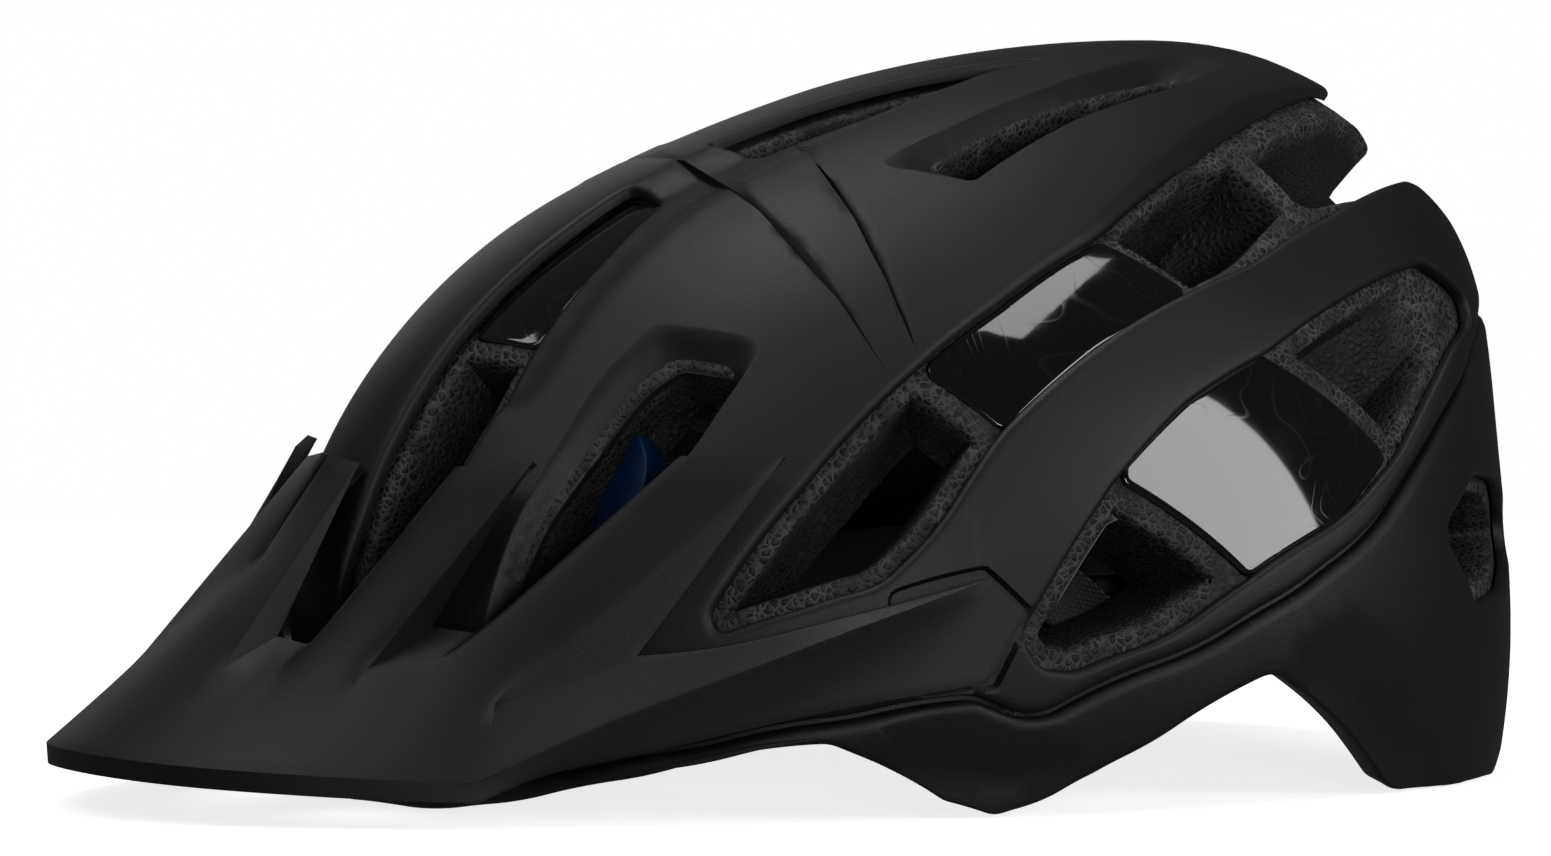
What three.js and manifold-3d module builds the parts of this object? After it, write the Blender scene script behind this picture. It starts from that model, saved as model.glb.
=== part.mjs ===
// Half-shell mountain bike helmet with a tilting visor.
// Millimetres, +Z up, the rider faces -Y, the rider's left is +X. The helmet rests on z = 0.
import * as THREE from 'three';
import { mergeVertices } from 'three/addons/utils/BufferGeometryUtils.js';
import Module from 'manifold-3d';

const wasm = await Module();
wasm.setup();

// ---------------------------------------------------------------- driving dimensions
const SHIFT_Y = 33.25;         // moves the finished object so that its box is centred on y = 0
const CENTRE_Z = 36;           // height of the point that every wall is drawn from
const HALF_WIDTH = 107;        // outer shell
const CROWN_RISE = 124.5;
const LOWER_DEPTH = 130;
const FRONT_Y = -143;
const REAR_Y = 134;
const CROWN_Y = 60;
const WIDEST_Y = 12;
const CAVITY_HALF_WIDTH = 81;  // head space
const CAVITY_RISE = 97;
const CAVITY_FRONT_Y = -114;
const CAVITY_REAR_Y = 107;
const SHELL_WALL = 2.2;        // moulded skin
const GAP = 0.4;               // clearance between separate pieces
const PANEL_DEPTH = 3.0;       // gloss panels lie this far under the shell surface
const PANEL_WALL = 1.6;
const RIM_WRAP = 9;            // depth of the rim flange under the foam
const PAD_THICK = 6;
const BAND_DEPTH = 9.4;        // fit band, measured in from the cavity wall
const BAND_WALL = 1.6;
const WEB_THICK = 1.5;
const VISOR_WALL = 3;
const PIVOT = { y: -38, z: 40 };
const SPHERE_DETAIL = { outer: 5, inner: 4 };
const OVERLAP = 1.03;          // neighbouring cuts run into each other by this factor

const HEAD_CENTRE = new THREE.Vector3(0, 0, CENTRE_Z);
const OUTER = {
  w: HALF_WIDTH, up: CROWN_RISE, down: LOWER_DEPTH, front: FRONT_Y, rear: REAR_Y,
  wideY: WIDEST_Y, crownY: CROWN_Y, pf: 2.1, pr: 2.9, pwf: 2.05, pwr: 2.5,
};
const INNER = {
  w: CAVITY_HALF_WIDTH, up: CAVITY_RISE, down: 420, front: CAVITY_FRONT_Y, rear: CAVITY_REAR_Y,
  wideY: 6, crownY: 20, pf: 2.2, pr: 2.5, pwf: 2.1, pwr: 2.3,
};

// ---------------------------------------------------------------- outlines
// Points near the outer surface on the left half. Only their direction from the centre counts.
const RIM = [
  [0, -137, -1.4], [33, -129, -1.2], [52, -117, 2.5], [72, -97, 9], [92, -65, 16], [97, -38, -0.6],
  [99, -31, -1.6], [100, -25, -0.4], [104, 5, 14], [106, 34, 29], [103, 52, 17], [96, 71, -0.6],
  [88, 90, -1.6], [70, 111, -0.9], [52, 121, 10], [34, 128, 24], [0, 133, 30],
];
const SEAM = [
  [0, -143, 5], [30, -135, 6], [59, -113, 9], [80, -89, 16], [94, -61, 22], [102, -35, 26],
  [104, -22, 20], [107, 15, 34], [106, 40, 46], [101, 61, 57], [93, 78, 72], [75, 101, 88],
  [60, 110, 101], [46, 114, 112], [0, 122, 120],
];
const FRONT_VENT = [
  [12, -142, 31], [17, -138, 61], [18, -128, 81], [18, -115, 99], [37, -108, 98], [40, -117, 85],
  [39, -124, 72], [35, -131, 58], [27, -137, 42], [24, -139, 31],
];
const FRONT_PANEL = [[18, -115, 99], [18, -90, 121], [17, -76, 130], [26, -72, 129], [32, -88, 118], [37, -108, 98]];
const TOP_VENT = [
  [17, -57, 139], [17, -33, 147], [17, -9, 153], [16, 17, 157], [15, 34, 160], [18, 16, 157],
  [23, -4, 152], [28, -22, 147], [29, -49, 138],
];
const HOOD_VENT = [
  [60, -84, 96], [56, -98, 86], [56, -110, 68], [53, -120, 48], [60, -118, 36], [67, -107, 52],
  [72, -92, 72], [72, -76, 92],
];
const SCOOP_VENT = [
  [48, -24, 136], [43, -6, 143], [35, 18, 150], [26, 45, 156], [22, 62, 158], [34, 52, 153],
  [49, 18, 145], [61, -14, 132],
];
const SIDE_VENT = [
  [84, -87, 41], [85, -80, 56], [87, -68, 70], [87, -55, 83], [86, -41, 94], [96, -25, 81],
  [98, -43, 60], [96, -55, 49], [89, -75, 42],
];
const SIDE_PANEL = [[86, -41, 94], [83, -20, 107], [76, 9, 121], [86, 27, 109], [91, 0, 98], [96, -25, 81]];
const TAIL_VENT = [[76, 9, 121], [60, 43, 138], [52, 60, 142], [67, 64, 126], [82, 42, 114], [86, 27, 109]];
const TAIL_SLOT = [[52, 60, 142], [33, 84, 151], [20, 100, 150], [24, 118, 122], [54, 98, 130], [67, 64, 126]];
const TAIL_GAP = [[20, 100, 150], [0, 103, 150], [-20, 100, 150], [-24, 118, 122], [0, 121, 119], [24, 118, 122]];
const REAR_GAP = [
  [54, 98, 130], [24, 118, 122], [0, 121, 119], [-24, 118, 122], [-54, 98, 130], [-41, 117, 105],
  [-20, 129, 99], [0, 132, 98], [20, 129, 99], [41, 117, 105],
];
const WINDOW_VENT = [[104, -26, 38], [102, -2, 70], [106, 28, 48], [107, 8, 36], [105, -14, 30], [105, -22, 32]];
const WINDOW_PANEL = [[102, -2, 70], [98, 18, 86], [93, 41, 96], [95, 72, 72], [102, 55, 60], [106, 28, 48]];
const WINDOW_REAR = [[93, 41, 96], [73, 86, 112], [68, 94, 114], [64, 107, 100], [73, 100, 95], [95, 72, 72]];
const REAR_VENT = [[82, 100, 67], [93, 85, 56], [86, 98, 39], [66, 113, 40], [55, 120, 51], [62, 116, 64]];
const NECK_VENT = [[34, 110, 121], [30, 122, 104], [14, 128, 102], [13, 118, 119]];

// ---------------------------------------------------------------- surface helpers
function profile(y, middle, p, powFront, powRear) {
  const front = y < middle;
  const t = Math.min(1, front ? (middle - y) / (middle - p.front) : (y - middle) / (p.rear - middle));
  const e = front ? powFront : powRear;
  return Math.pow(Math.max(1 - Math.pow(t, e), 0), 1 / e) + 1e-6;
}

function outside(v, p) {
  if (v.y <= p.front || v.y >= p.rear) return true;
  const g = profile(v.y, p.wideY, p, p.pwf, p.pwr) * p.w;
  const rise = v.z > CENTRE_Z ? p.up : p.down;
  const h = profile(v.y, p.crownY, p, p.pf, p.pr) * rise;
  return (v.x / g) ** 2 + ((v.z - CENTRE_Z) / h) ** 2 > 1;
}

function reach(dir, p) {
  let low = 1;
  let high = 460;
  const v = new THREE.Vector3();
  for (let i = 0; i < 40; i += 1) {
    const mid = (low + high) / 2;
    v.copy(HEAD_CENTRE).addScaledVector(dir, mid);
    if (outside(v, p)) high = mid;
    else low = mid;
  }
  return low;
}

function onSurface(dir, p, offset) {
  const unit = dir.clone().normalize();
  return HEAD_CENTRE.clone().addScaledVector(unit, reach(unit, p) + offset);
}

const aim = (azimuth, elevation) => {
  const a = THREE.MathUtils.degToRad(azimuth);
  const e = THREE.MathUtils.degToRad(elevation);
  return new THREE.Vector3(Math.sin(a) * Math.cos(e), -Math.cos(a) * Math.cos(e), Math.sin(e));
};

const towards = (points) => points.map(([x, y, z]) => new THREE.Vector3(x, y, z - CENTRE_Z).normalize());
const mirrored = (dirs) => dirs.map((d) => new THREE.Vector3(-d.x, d.y, d.z));

// ---------------------------------------------------------------- solids
function solid(geometry) {
  const plain = geometry.index ? geometry.clone() : geometry;
  plain.deleteAttribute('normal');
  plain.deleteAttribute('uv');
  const merged = mergeVertices(plain, 1e-4);
  return new wasm.Manifold(new wasm.Mesh({
    numProp: 3,
    vertProperties: new Float32Array(merged.attributes.position.array),
    triVerts: new Uint32Array(merged.index.array),
  }));
}

function geometryOf(body) {
  const mesh = body.getMesh();
  const geometry = new THREE.BufferGeometry();
  const position = new Float32Array(mesh.vertProperties);
  geometry.setAttribute('position', new THREE.BufferAttribute(position, mesh.numProp));
  geometry.setIndex(new THREE.BufferAttribute(new Uint32Array(mesh.triVerts), 1));
  return geometry;
}

function indexed(points, triangles) {
  const geometry = new THREE.BufferGeometry();
  geometry.setAttribute('position', new THREE.Float32BufferAttribute(points.flatMap((p) => p.toArray()), 3));
  geometry.setIndex(triangles);
  return geometry;
}

// A sphere pushed out to the given surface plus an offset.
function bubble(p, offset) {
  const geometry = new THREE.IcosahedronGeometry(1, p === OUTER ? SPHERE_DETAIL.outer : SPHERE_DETAIL.inner);
  geometry.deleteAttribute('normal');
  geometry.deleteAttribute('uv');
  const merged = mergeVertices(geometry, 1e-5);
  const position = merged.attributes.position;
  for (let i = 0; i < position.count; i += 1) {
    const v = onSurface(new THREE.Vector3().fromBufferAttribute(position, i), p, offset);
    position.setXYZ(i, v.x, v.y, v.z);
  }
  return solid(merged);
}

// Everything between two radii in a fan of directions.
function wedge(dirs, near = 30, far = 240) {
  const middle = dirs.reduce((sum, d) => sum.add(d), new THREE.Vector3()).normalize();
  const side = new THREE.Vector3(0, 0, 1).cross(middle).normalize();
  const rise = middle.clone().cross(side);
  const flat = dirs.map((d) => new THREE.Vector2(d.dot(side), d.dot(rise)).divideScalar(d.dot(middle)));
  const ordered = THREE.ShapeUtils.isClockWise(flat) ? [...dirs].reverse() : dirs;
  const contour = THREE.ShapeUtils.isClockWise(flat) ? [...flat].reverse() : flat;
  const n = ordered.length;
  const points = [near, far].flatMap((r) => ordered.map((d) => HEAD_CENTRE.clone().addScaledVector(d, r)));
  const triangles = [];
  for (const [a, b, c] of THREE.ShapeUtils.triangulateShape(contour, [])) {
    triangles.push(a, c, b, n + a, n + b, n + c);
  }
  for (let i = 0; i < n; i += 1) {
    const j = (i + 1) % n;
    triangles.push(i, j, n + j, i, n + j, n + i);
  }
  return solid(indexed(points, triangles));
}

// All directions below a line that runs round the helmet; lift raises the line, in degrees.
function below(line, lift) {
  const half = towards(line).map((d) => ({
    az: Math.atan2(d.x, -d.y),
    el: Math.asin(d.z) + THREE.MathUtils.degToRad(lift),
  }));
  const ring = [...half, ...half.slice(1, -1).reverse().map((q) => ({ az: -q.az, el: q.el }))];
  const n = ring.length;
  const points = ring.map((q) => {
    const d = new THREE.Vector3(Math.sin(q.az) * Math.cos(q.el), -Math.cos(q.az) * Math.cos(q.el), Math.sin(q.el));
    return HEAD_CENTRE.clone().addScaledVector(d, 240);
  });
  for (const q of ring) {
    points.push(new THREE.Vector3(240 * Math.sin(q.az), -240 * Math.cos(q.az), -300));
  }
  points.push(HEAD_CENTRE.clone(), new THREE.Vector3(0, 0, -300));
  const triangles = [];
  for (let i = 0; i < n; i += 1) {
    const j = (i + 1) % n;
    triangles.push(2 * n, i, j, i, n + i, n + j, i, n + j, j, 2 * n + 1, n + j, n + i);
  }
  return solid(indexed(points, triangles));
}

// A round pin or pocket along a direction, from one depth of the cavity wall to another.
function pin(dir, radius, from, to, sides = 20) {
  const unit = dir.clone().normalize();
  const start = onSurface(unit, INNER, from);
  const length = to - from;
  const geometry = new THREE.CylinderGeometry(radius, radius, length, sides);
  const turn = new THREE.Quaternion().setFromUnitVectors(new THREE.Vector3(0, 1, 0), unit);
  geometry.applyQuaternion(turn);
  geometry.translate(...start.addScaledVector(unit, length / 2).toArray());
  return solid(geometry);
}

function box(x0, x1, y0, y1, z0, z1) {
  const geometry = new THREE.BoxGeometry(x1 - x0, y1 - y0, z1 - z0);
  geometry.translate((x0 + x1) / 2, (y0 + y1) / 2, (z0 + z1) / 2);
  return solid(geometry);
}

const cache = new Map();
function ball(p, offset) {
  const key = `${p === OUTER ? 'o' : 'i'}${offset}`;
  if (!cache.has(key)) cache.set(key, bubble(p, offset));
  return cache.get(key);
}
const layer = (p, outerOffset, innerOffset) => ball(p, outerOffset).subtract(ball(p, innerOffset));
const patch = (p, outerOffset, innerOffset, dirs) => layer(p, outerOffset, innerOffset).intersect(wedge(dirs));

// Shrinks an outline towards its middle direction.
function inset(dirs, factor) {
  const middle = dirs.reduce((sum, d) => sum.add(d), new THREE.Vector3()).normalize();
  return dirs.map((d) => middle.clone().lerp(d, factor).normalize());
}

function cutAll(body, outlines, factor) {
  let result = body;
  for (const outline of outlines) {
    const dirs = inset(towards(outline), factor);
    result = result.subtract(wedge(dirs)).subtract(wedge(mirrored(dirs)));
  }
  return result;
}

// A strip of the cavity wall along a row of directions.
function strip(path, width, outerOffset, innerOffset) {
  const dirs = path.map(([az, el]) => aim(az, el));
  const half = THREE.MathUtils.degToRad(width / 2);
  const left = [];
  const right = [];
  dirs.forEach((d, i) => {
    const along = dirs[Math.min(i + 1, dirs.length - 1)].clone().sub(dirs[Math.max(i - 1, 0)]);
    const across = d.clone().cross(along).normalize();
    left.push(d.clone().addScaledVector(across, half).normalize());
    right.unshift(d.clone().addScaledVector(across, -half).normalize());
  });
  return patch(INNER, outerOffset, innerOffset, [...left, ...right]);
}

// ---------------------------------------------------------------- shells and foam
const floor = box(-300, 300, -300, 300, -60, 0);
const bigTailCuts = [TAIL_VENT, TAIL_SLOT, SIDE_VENT, SIDE_PANEL];
const middleCuts = (body, factor) => [TAIL_GAP, REAR_GAP].reduce(
  (rest, outline) => rest.subtract(wedge(inset(towards(outline), factor))),
  body,
);

const shellVents = [
  FRONT_VENT, FRONT_PANEL, TOP_VENT, HOOD_VENT, SCOOP_VENT, ...bigTailCuts, WINDOW_VENT, WINDOW_PANEL, WINDOW_REAR,
];
let upperShell = layer(OUTER, 0, -SHELL_WALL).subtract(below(SEAM, 0));
upperShell = middleCuts(cutAll(upperShell, shellVents, OVERLAP), OVERLAP);

let lowerShell = layer(OUTER, 0, -SHELL_WALL).intersect(below(SEAM, -0.5)).subtract(below(RIM, 0));
const flange = layer(OUTER, 0, -RIM_WRAP).intersect(below(RIM, 1.1)).subtract(below(RIM, 0));
lowerShell = lowerShell.add(flange).subtract(floor);
lowerShell = middleCuts(cutAll(lowerShell, [REAR_VENT, TAIL_SLOT, WINDOW_REAR], OVERLAP), OVERLAP);

let liner = ball(OUTER, -SHELL_WALL - GAP).subtract(ball(INNER, 0)).subtract(below(RIM, 1.4));
const linerVents = [FRONT_VENT, TOP_VENT, HOOD_VENT, SCOOP_VENT, SIDE_VENT, TAIL_VENT, WINDOW_VENT, REAR_VENT, NECK_VENT];
liner = cutAll(liner, linerVents, 0.9);
const recess = layer(OUTER, 8, -PANEL_DEPTH - PANEL_WALL - GAP);
for (const outline of [FRONT_PANEL, SIDE_PANEL, WINDOW_PANEL]) {
  const dirs = towards(outline);
  liner = liner.subtract(recess.intersect(wedge(dirs))).subtract(recess.intersect(wedge(mirrored(dirs))));
}
const hollow = layer(OUTER, 8, -12);
for (const outline of [TAIL_SLOT, WINDOW_REAR]) {
  const dirs = inset(towards(outline), OVERLAP);
  liner = liner.subtract(hollow.intersect(wedge(dirs))).subtract(hollow.intersect(wedge(mirrored(dirs))));
}
liner = liner.subtract(hollow.intersect(wedge(inset(towards(REAR_GAP), OVERLAP))));

// ---------------------------------------------------------------- pockets in the foam
const TURBINES = [[25, 18], [52, 44], [112, 40], [72, 60]];
const TURBINE_RADIUS = 12.8;
const ANCHOR = aim(66, -10);
for (const [az, el] of TURBINES) {
  liner = liner.subtract(pin(aim(az, el), TURBINE_RADIUS + GAP, -20, 6.4, 12));
  liner = liner.subtract(pin(aim(-az, el), TURBINE_RADIUS + GAP, -20, 6.4, 12));
}
for (const dir of [ANCHOR, ...mirrored([ANCHOR])]) {
  liner = liner.subtract(pin(dir, 2.5 + GAP, -20, 8.4, 12));
}

function rod(radius, from, to, sides = 16) {
  const geometry = new THREE.CylinderGeometry(radius, radius, to.distanceTo(from), sides);
  const along = to.clone().sub(from).normalize();
  geometry.applyQuaternion(new THREE.Quaternion().setFromUnitVectors(new THREE.Vector3(0, 1, 0), along));
  geometry.translate(...from.clone().add(to).multiplyScalar(0.5).toArray());
  return solid(geometry);
}
const atPivot = (x) => new THREE.Vector3(x, PIVOT.y, PIVOT.z);
const bothSides = (body) => body.add(body.mirror([1, 0, 0]));
const studHole = bothSides(rod(4 + GAP, atPivot(92), atPivot(103.6)));
liner = liner.subtract(studHole);
upperShell = upperShell.subtract(studHole);

// ---------------------------------------------------------------- visor
// Corner points of the left half, and the faces between them, seen from outside.
const TOP = {
  tip: [0, -200.5, 13.5], e1: [18, -197, 13], e2: [36, -186, 12], e3: [52, -168, 11], e4: [63, -150, 10],
  corner: [70, -134, 9.5], e6: [78, -113, 13], e7: [86, -91, 17], e8: [97.5, -63, 25], end: [105, -34, 31],
  b0: [0, -168, 29], b1: [14, -167, 29], b2: [30, -158, 30], b3: [46, -147, 31], b4: [57, -137, 28],
  b5: [66, -125, 25], slit: [0, -153, 53], aLow: [19, -156, 37], aIn: [3, -139.5, 73.5], aOut: [18, -138, 71.5],
  bLow: [26, -150.5, 36], bIn: [42, -128.5, 74], bOut: [58, -118, 74], bFoot: [50, -133.5, 40],
  cLow: [58.5, -124, 39.5], cIn: [77.5, -92.5, 75.5], cOut: [89, -76, 76], cFoot: [79.5, -103, 36],
  dMid: [89, -83, 38], dTop: [102.5, -54, 46], dBack: [105.5, -42, 52], dEnd: [106, -28, 45],
};
const FACES = [
  ['tip', 'e1', 'b1', 'b0'], ['e1', 'e2', 'b2', 'b1'], ['e2', 'e3', 'b3', 'b2'], ['e3', 'e4', 'b4', 'b3'],
  ['e4', 'corner', 'b5', 'b4'], ['b0', 'b1', 'slit'], ['slit', 'b1', 'aOut', 'aIn'], ['b1', 'aLow', 'aOut'],
  ['b1', 'b2', 'bLow', 'aLow'], ['b2', 'b3', 'bLow'], ['bLow', 'b3', 'bOut', 'bIn'], ['b3', 'bFoot', 'bOut'],
  ['b3', 'b4', 'cLow', 'bFoot'], ['b4', 'b5', 'cLow'], ['cLow', 'b5', 'cOut', 'cIn'], ['b5', 'cFoot', 'cOut'],
  ['corner', 'e6', 'cFoot', 'b5'], ['e6', 'e7', 'dMid', 'cFoot'], ['e7', 'e8', 'dTop', 'dMid'],
  ['e8', 'end', 'dBack', 'dTop'], ['end', 'dEnd', 'dBack'],
];

function visorSolid() {
  const names = Object.keys(TOP);
  const outerPoints = [];
  const where = new Map();
  for (const side of [1, -1]) {
    for (const name of names) {
      const [x, y, z] = TOP[name];
      if (x === 0 && side === -1) where.set(`${name}-1`, where.get(`${name}1`));
      else {
        where.set(`${name}${side}`, outerPoints.length);
        outerPoints.push(new THREE.Vector3(side * x, y, z));
      }
    }
  }
  const faces = [];
  for (const side of [1, -1]) {
    for (const face of FACES) {
      const ids = face.map((name) => where.get(`${name}${side}`));
      if (side === -1) ids.reverse();
      for (let i = 1; i < ids.length - 1; i += 1) faces.push([ids[0], ids[i], ids[i + 1]]);
    }
  }
  const normals = outerPoints.map(() => new THREE.Vector3());
  for (const [a, b, c] of faces) {
    const ab = outerPoints[b].clone().sub(outerPoints[a]);
    const ac = outerPoints[c].clone().sub(outerPoints[a]);
    const normal = ab.cross(ac).normalize();
    for (const i of [a, b, c]) normals[i].add(normal);
  }
  const n = outerPoints.length;
  const inner = outerPoints.map((p, i) => p.clone().addScaledVector(normals[i].normalize(), -VISOR_WALL));
  const triangles = [];
  const open = new Map();
  for (const [a, b, c] of faces) {
    triangles.push(a, b, c, n + a, n + c, n + b);
    for (const [p, q] of [[a, b], [b, c], [c, a]]) {
      if (open.has(`${q},${p}`)) open.delete(`${q},${p}`);
      else open.set(`${p},${q}`, [p, q]);
    }
  }
  for (const [p, q] of open.values()) triangles.push(p, n + p, n + q, p, n + q, q);
  return solid(indexed([...outerPoints, ...inner], triangles));
}
const visor = visorSolid().subtract(ball(OUTER, GAP)).subtract(studHole);

// ---------------------------------------------------------------- fit system
// A straight carriage behind the head holds two racks and the dial's pinion; bands run to the temples.
const CARRIAGE = { half: 31, front: 82, groove: 86.6, back: 89, low: 28, high: 56 };
const RACK = { thick: 1.6, tall: 5.2, reach: 37, past: 6, tail: 41, low: 34 };
const DIAL = { z: 42, pinion: 4.1, shaft: 2.6, disc: 12, deep: 8 };
const COVER = { from: 89.3, to: 91.3 };

const grooveBox = box(-60, 60, CARRIAGE.groove, 120, CARRIAGE.low + 4, CARRIAGE.high - 4);
const carriage = box(-CARRIAGE.half, CARRIAGE.half, CARRIAGE.front, CARRIAGE.back, CARRIAGE.low, CARRIAGE.high)
  .subtract(grooveBox);
const onDial = (y) => new THREE.Vector3(0, y, DIAL.z);
const cover = box(-CARRIAGE.half, CARRIAGE.half, COVER.from, COVER.to, CARRIAGE.low, CARRIAGE.high)
  .subtract(rod(DIAL.shaft + GAP, onDial(80), onDial(100)));
const rackY = CARRIAGE.groove + GAP;
const rackTop = CARRIAGE.high - 4 - GAP;
const rackLeft = box(-RACK.past, RACK.tail, rackY, rackY + RACK.thick, rackTop - RACK.tall, rackTop)
  .add(box(RACK.reach, RACK.tail, rackY, rackY + RACK.thick, RACK.low, rackTop));
const rackFoot = CARRIAGE.low + 4 + GAP;
const rackRight = box(-RACK.tail, RACK.past, rackY, rackY + RACK.thick, rackFoot, rackFoot + RACK.tall)
  .add(box(-RACK.tail, -RACK.reach, rackY, rackY + RACK.thick, rackFoot, rackTop - 2));
const discFrom = COVER.to + GAP;
const dialProfile = [
  [0, rackY], [DIAL.pinion, rackY], [DIAL.pinion, rackY + RACK.thick], [DIAL.shaft, rackY + RACK.thick],
  [DIAL.shaft, discFrom], [DIAL.disc, discFrom], [DIAL.disc, discFrom + DIAL.deep - 1.5],
  [DIAL.disc - 1.5, discFrom + DIAL.deep], [0, discFrom + DIAL.deep],
];
const dialShape = new THREE.LatheGeometry(dialProfile.map(([r, y]) => new THREE.Vector2(r, y)), 24);
dialShape.translate(0, 0, DIAL.z);
const dial = solid(dialShape);

const BAND_END = 140;
const band = strip([[59, -10], [72, -8], [88, 1], [105, 5], [BAND_END, 7]], 7, -BAND_DEPTH, -BAND_DEPTH - BAND_WALL)
  .subtract(pin(ANCHOR, 2.5 + GAP, -BAND_DEPTH - 4, -BAND_DEPTH + 4, 12));
const anchorPin = pin(ANCHOR, 2.5, -BAND_DEPTH - BAND_WALL - 2.4, 8, 12)
  .add(pin(ANCHOR, 4.6, -BAND_DEPTH - BAND_WALL - 3.4, -BAND_DEPTH - BAND_WALL - 1.6, 12));

// ---------------------------------------------------------------- straps, stowed against the foam
const dirsOf = (shape) => shape.map(([az, el]) => aim(az, el));
const frontWeb = strip([[71, 19], [84, 9], [94, 1]], 8, -GAP, -GAP - WEB_THICK);
const rearWeb = strip([[140, 20], [124, 10], [107, 0]], 8, -GAP, -GAP - WEB_THICK);
const chinWeb = strip([[102, -2], [118, 6], [136, 15], [152, 20]], 8, -2.4, -2.4 - WEB_THICK);
const divider = patch(INNER, -4.4, -6.6, dirsOf([[93, 5], [93, -6], [109, -6], [109, 5]]));
const BUCKLE = { y0: 85, y1: 91.5, z0: 66, z1: 82, reach: 25, mouth: 3, pocket: 16 };
const female = box(BUCKLE.mouth, BUCKLE.reach, BUCKLE.y0, BUCKLE.y1, BUCKLE.z0, BUCKLE.z1)
  .subtract(box(BUCKLE.mouth - 2, BUCKLE.pocket, BUCKLE.y0 + 1.4, BUCKLE.y1 - 1.4, BUCKLE.z0 + 2, BUCKLE.z1 - 2));
const male = box(-BUCKLE.reach + 4, BUCKLE.mouth - GAP, BUCKLE.y0 + 0.6, BUCKLE.y1 - 0.6, BUCKLE.z0 + 1, BUCKLE.z1 - 1)
  .add(box(0, BUCKLE.pocket - 2, BUCKLE.y0 + 1.8, BUCKLE.y1 - 1.8, BUCKLE.z0 + 2.4, BUCKLE.z1 - 2.4));

// ---------------------------------------------------------------- pads
const browShape = [
  [-56, -14], [-28, -15], [0, -15], [28, -15], [56, -14], [58, 0], [30, 7], [0, 8], [-30, 7], [-58, 0],
];
const browPad = patch(INNER, -GAP, -GAP - PAD_THICK, dirsOf(browShape));
const crownPad = patch(INNER, -GAP, -GAP - PAD_THICK, towards([
  [8, -78, 102], [24, -76, 100], [28, -30, 122], [27, 20, 128], [22, 62, 122], [8, 64, 123], [10, 20, 132], [10, -30, 126],
]));
const sidePad = patch(INNER, -GAP, -GAP - PAD_THICK, dirsOf([[66, 26], [66, 36], [84, 38], [102, 34], [102, 25], [84, 24]]));
const napePad = box(-22, 22, CARRIAGE.front - 4, CARRIAGE.front - GAP, CARRIAGE.low + 3, CARRIAGE.high - 3);

// ---------------------------------------------------------------- assembly
const group = new THREE.Group();
group.position.y = SHIFT_Y;

function look(colour, roughness, metalness = 0) {
  return new THREE.MeshStandardMaterial({ color: colour, roughness, metalness });
}
const MATTE = look(0x1b1a1c, 0.55);
const GLOSS = look(0x050505, 0.05);
const FOAM = look(0x2e2d2c, 0.85);
const FABRIC = look(0x151516, 0.95);
const RUBBER = look(0x1266a8, 0.6);
const PLASTIC = look(0x121213, 0.5);
const WEBBING = look(0x17171a, 0.9);

function place(name, body, material) {
  const mesh = new THREE.Mesh(geometryOf(body), material);
  mesh.name = name;
  group.add(mesh);
}

function placeBoth(name, body, material) {
  place(`${name}_left`, body, material);
  place(`${name}_right`, body.mirror([1, 0, 0]), material);
}

place('upper_shell', upperShell, MATTE);
place('lower_shell', lowerShell, MATTE);
place('eps_liner', liner, FOAM);
const panel = (outline) => patch(OUTER, -PANEL_DEPTH, -PANEL_DEPTH - PANEL_WALL, inset(towards(outline), 0.965));
placeBoth('front_panel', panel(FRONT_PANEL), GLOSS);
placeBoth('side_panel', panel(SIDE_PANEL), GLOSS);
placeBoth('window_panel', panel(WINDOW_PANEL), GLOSS);
TURBINES.forEach(([az, el], i) => {
  placeBoth(`turbine_${i + 1}`, pin(aim(az, el), TURBINE_RADIUS, -2, 6, 12), RUBBER);
});
place('visor', visor, MATTE);
placeBoth('visor_stud', rod(4, atPivot(93), atPivot(103.2), 12), PLASTIC);
place('carriage', carriage, PLASTIC);
place('carriage_cover', cover, PLASTIC);
place('rack_left', rackLeft, PLASTIC);
place('rack_right', rackRight, PLASTIC);
place('dial', dial, PLASTIC);
placeBoth('band', band, PLASTIC);
placeBoth('band_anchor', anchorPin, PLASTIC);
placeBoth('strap_front', frontWeb, WEBBING);
placeBoth('strap_rear', rearWeb, WEBBING);
placeBoth('strap_chin', chinWeb, WEBBING);
placeBoth('strap_divider', divider, PLASTIC);
place('buckle_socket', female, PLASTIC);
place('buckle_tongue', male, PLASTIC);
place('brow_pad', browPad, FABRIC);
placeBoth('crown_pad', crownPad, FABRIC);
placeBoth('side_pad', sidePad, FABRIC);
place('nape_pad', napePad, FABRIC);

export default group;
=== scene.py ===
"""Half-shell mountain bike helmet with visor. Lengths are in millimetres in the helmet's own
frame (+Z up, the rider faces -Y, left is +X); place() turns them into metres in the CAD frame."""
import math

import bmesh
import bpy
import numpy as np
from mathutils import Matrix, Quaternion, Vector, geometry, kdtree


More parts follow.
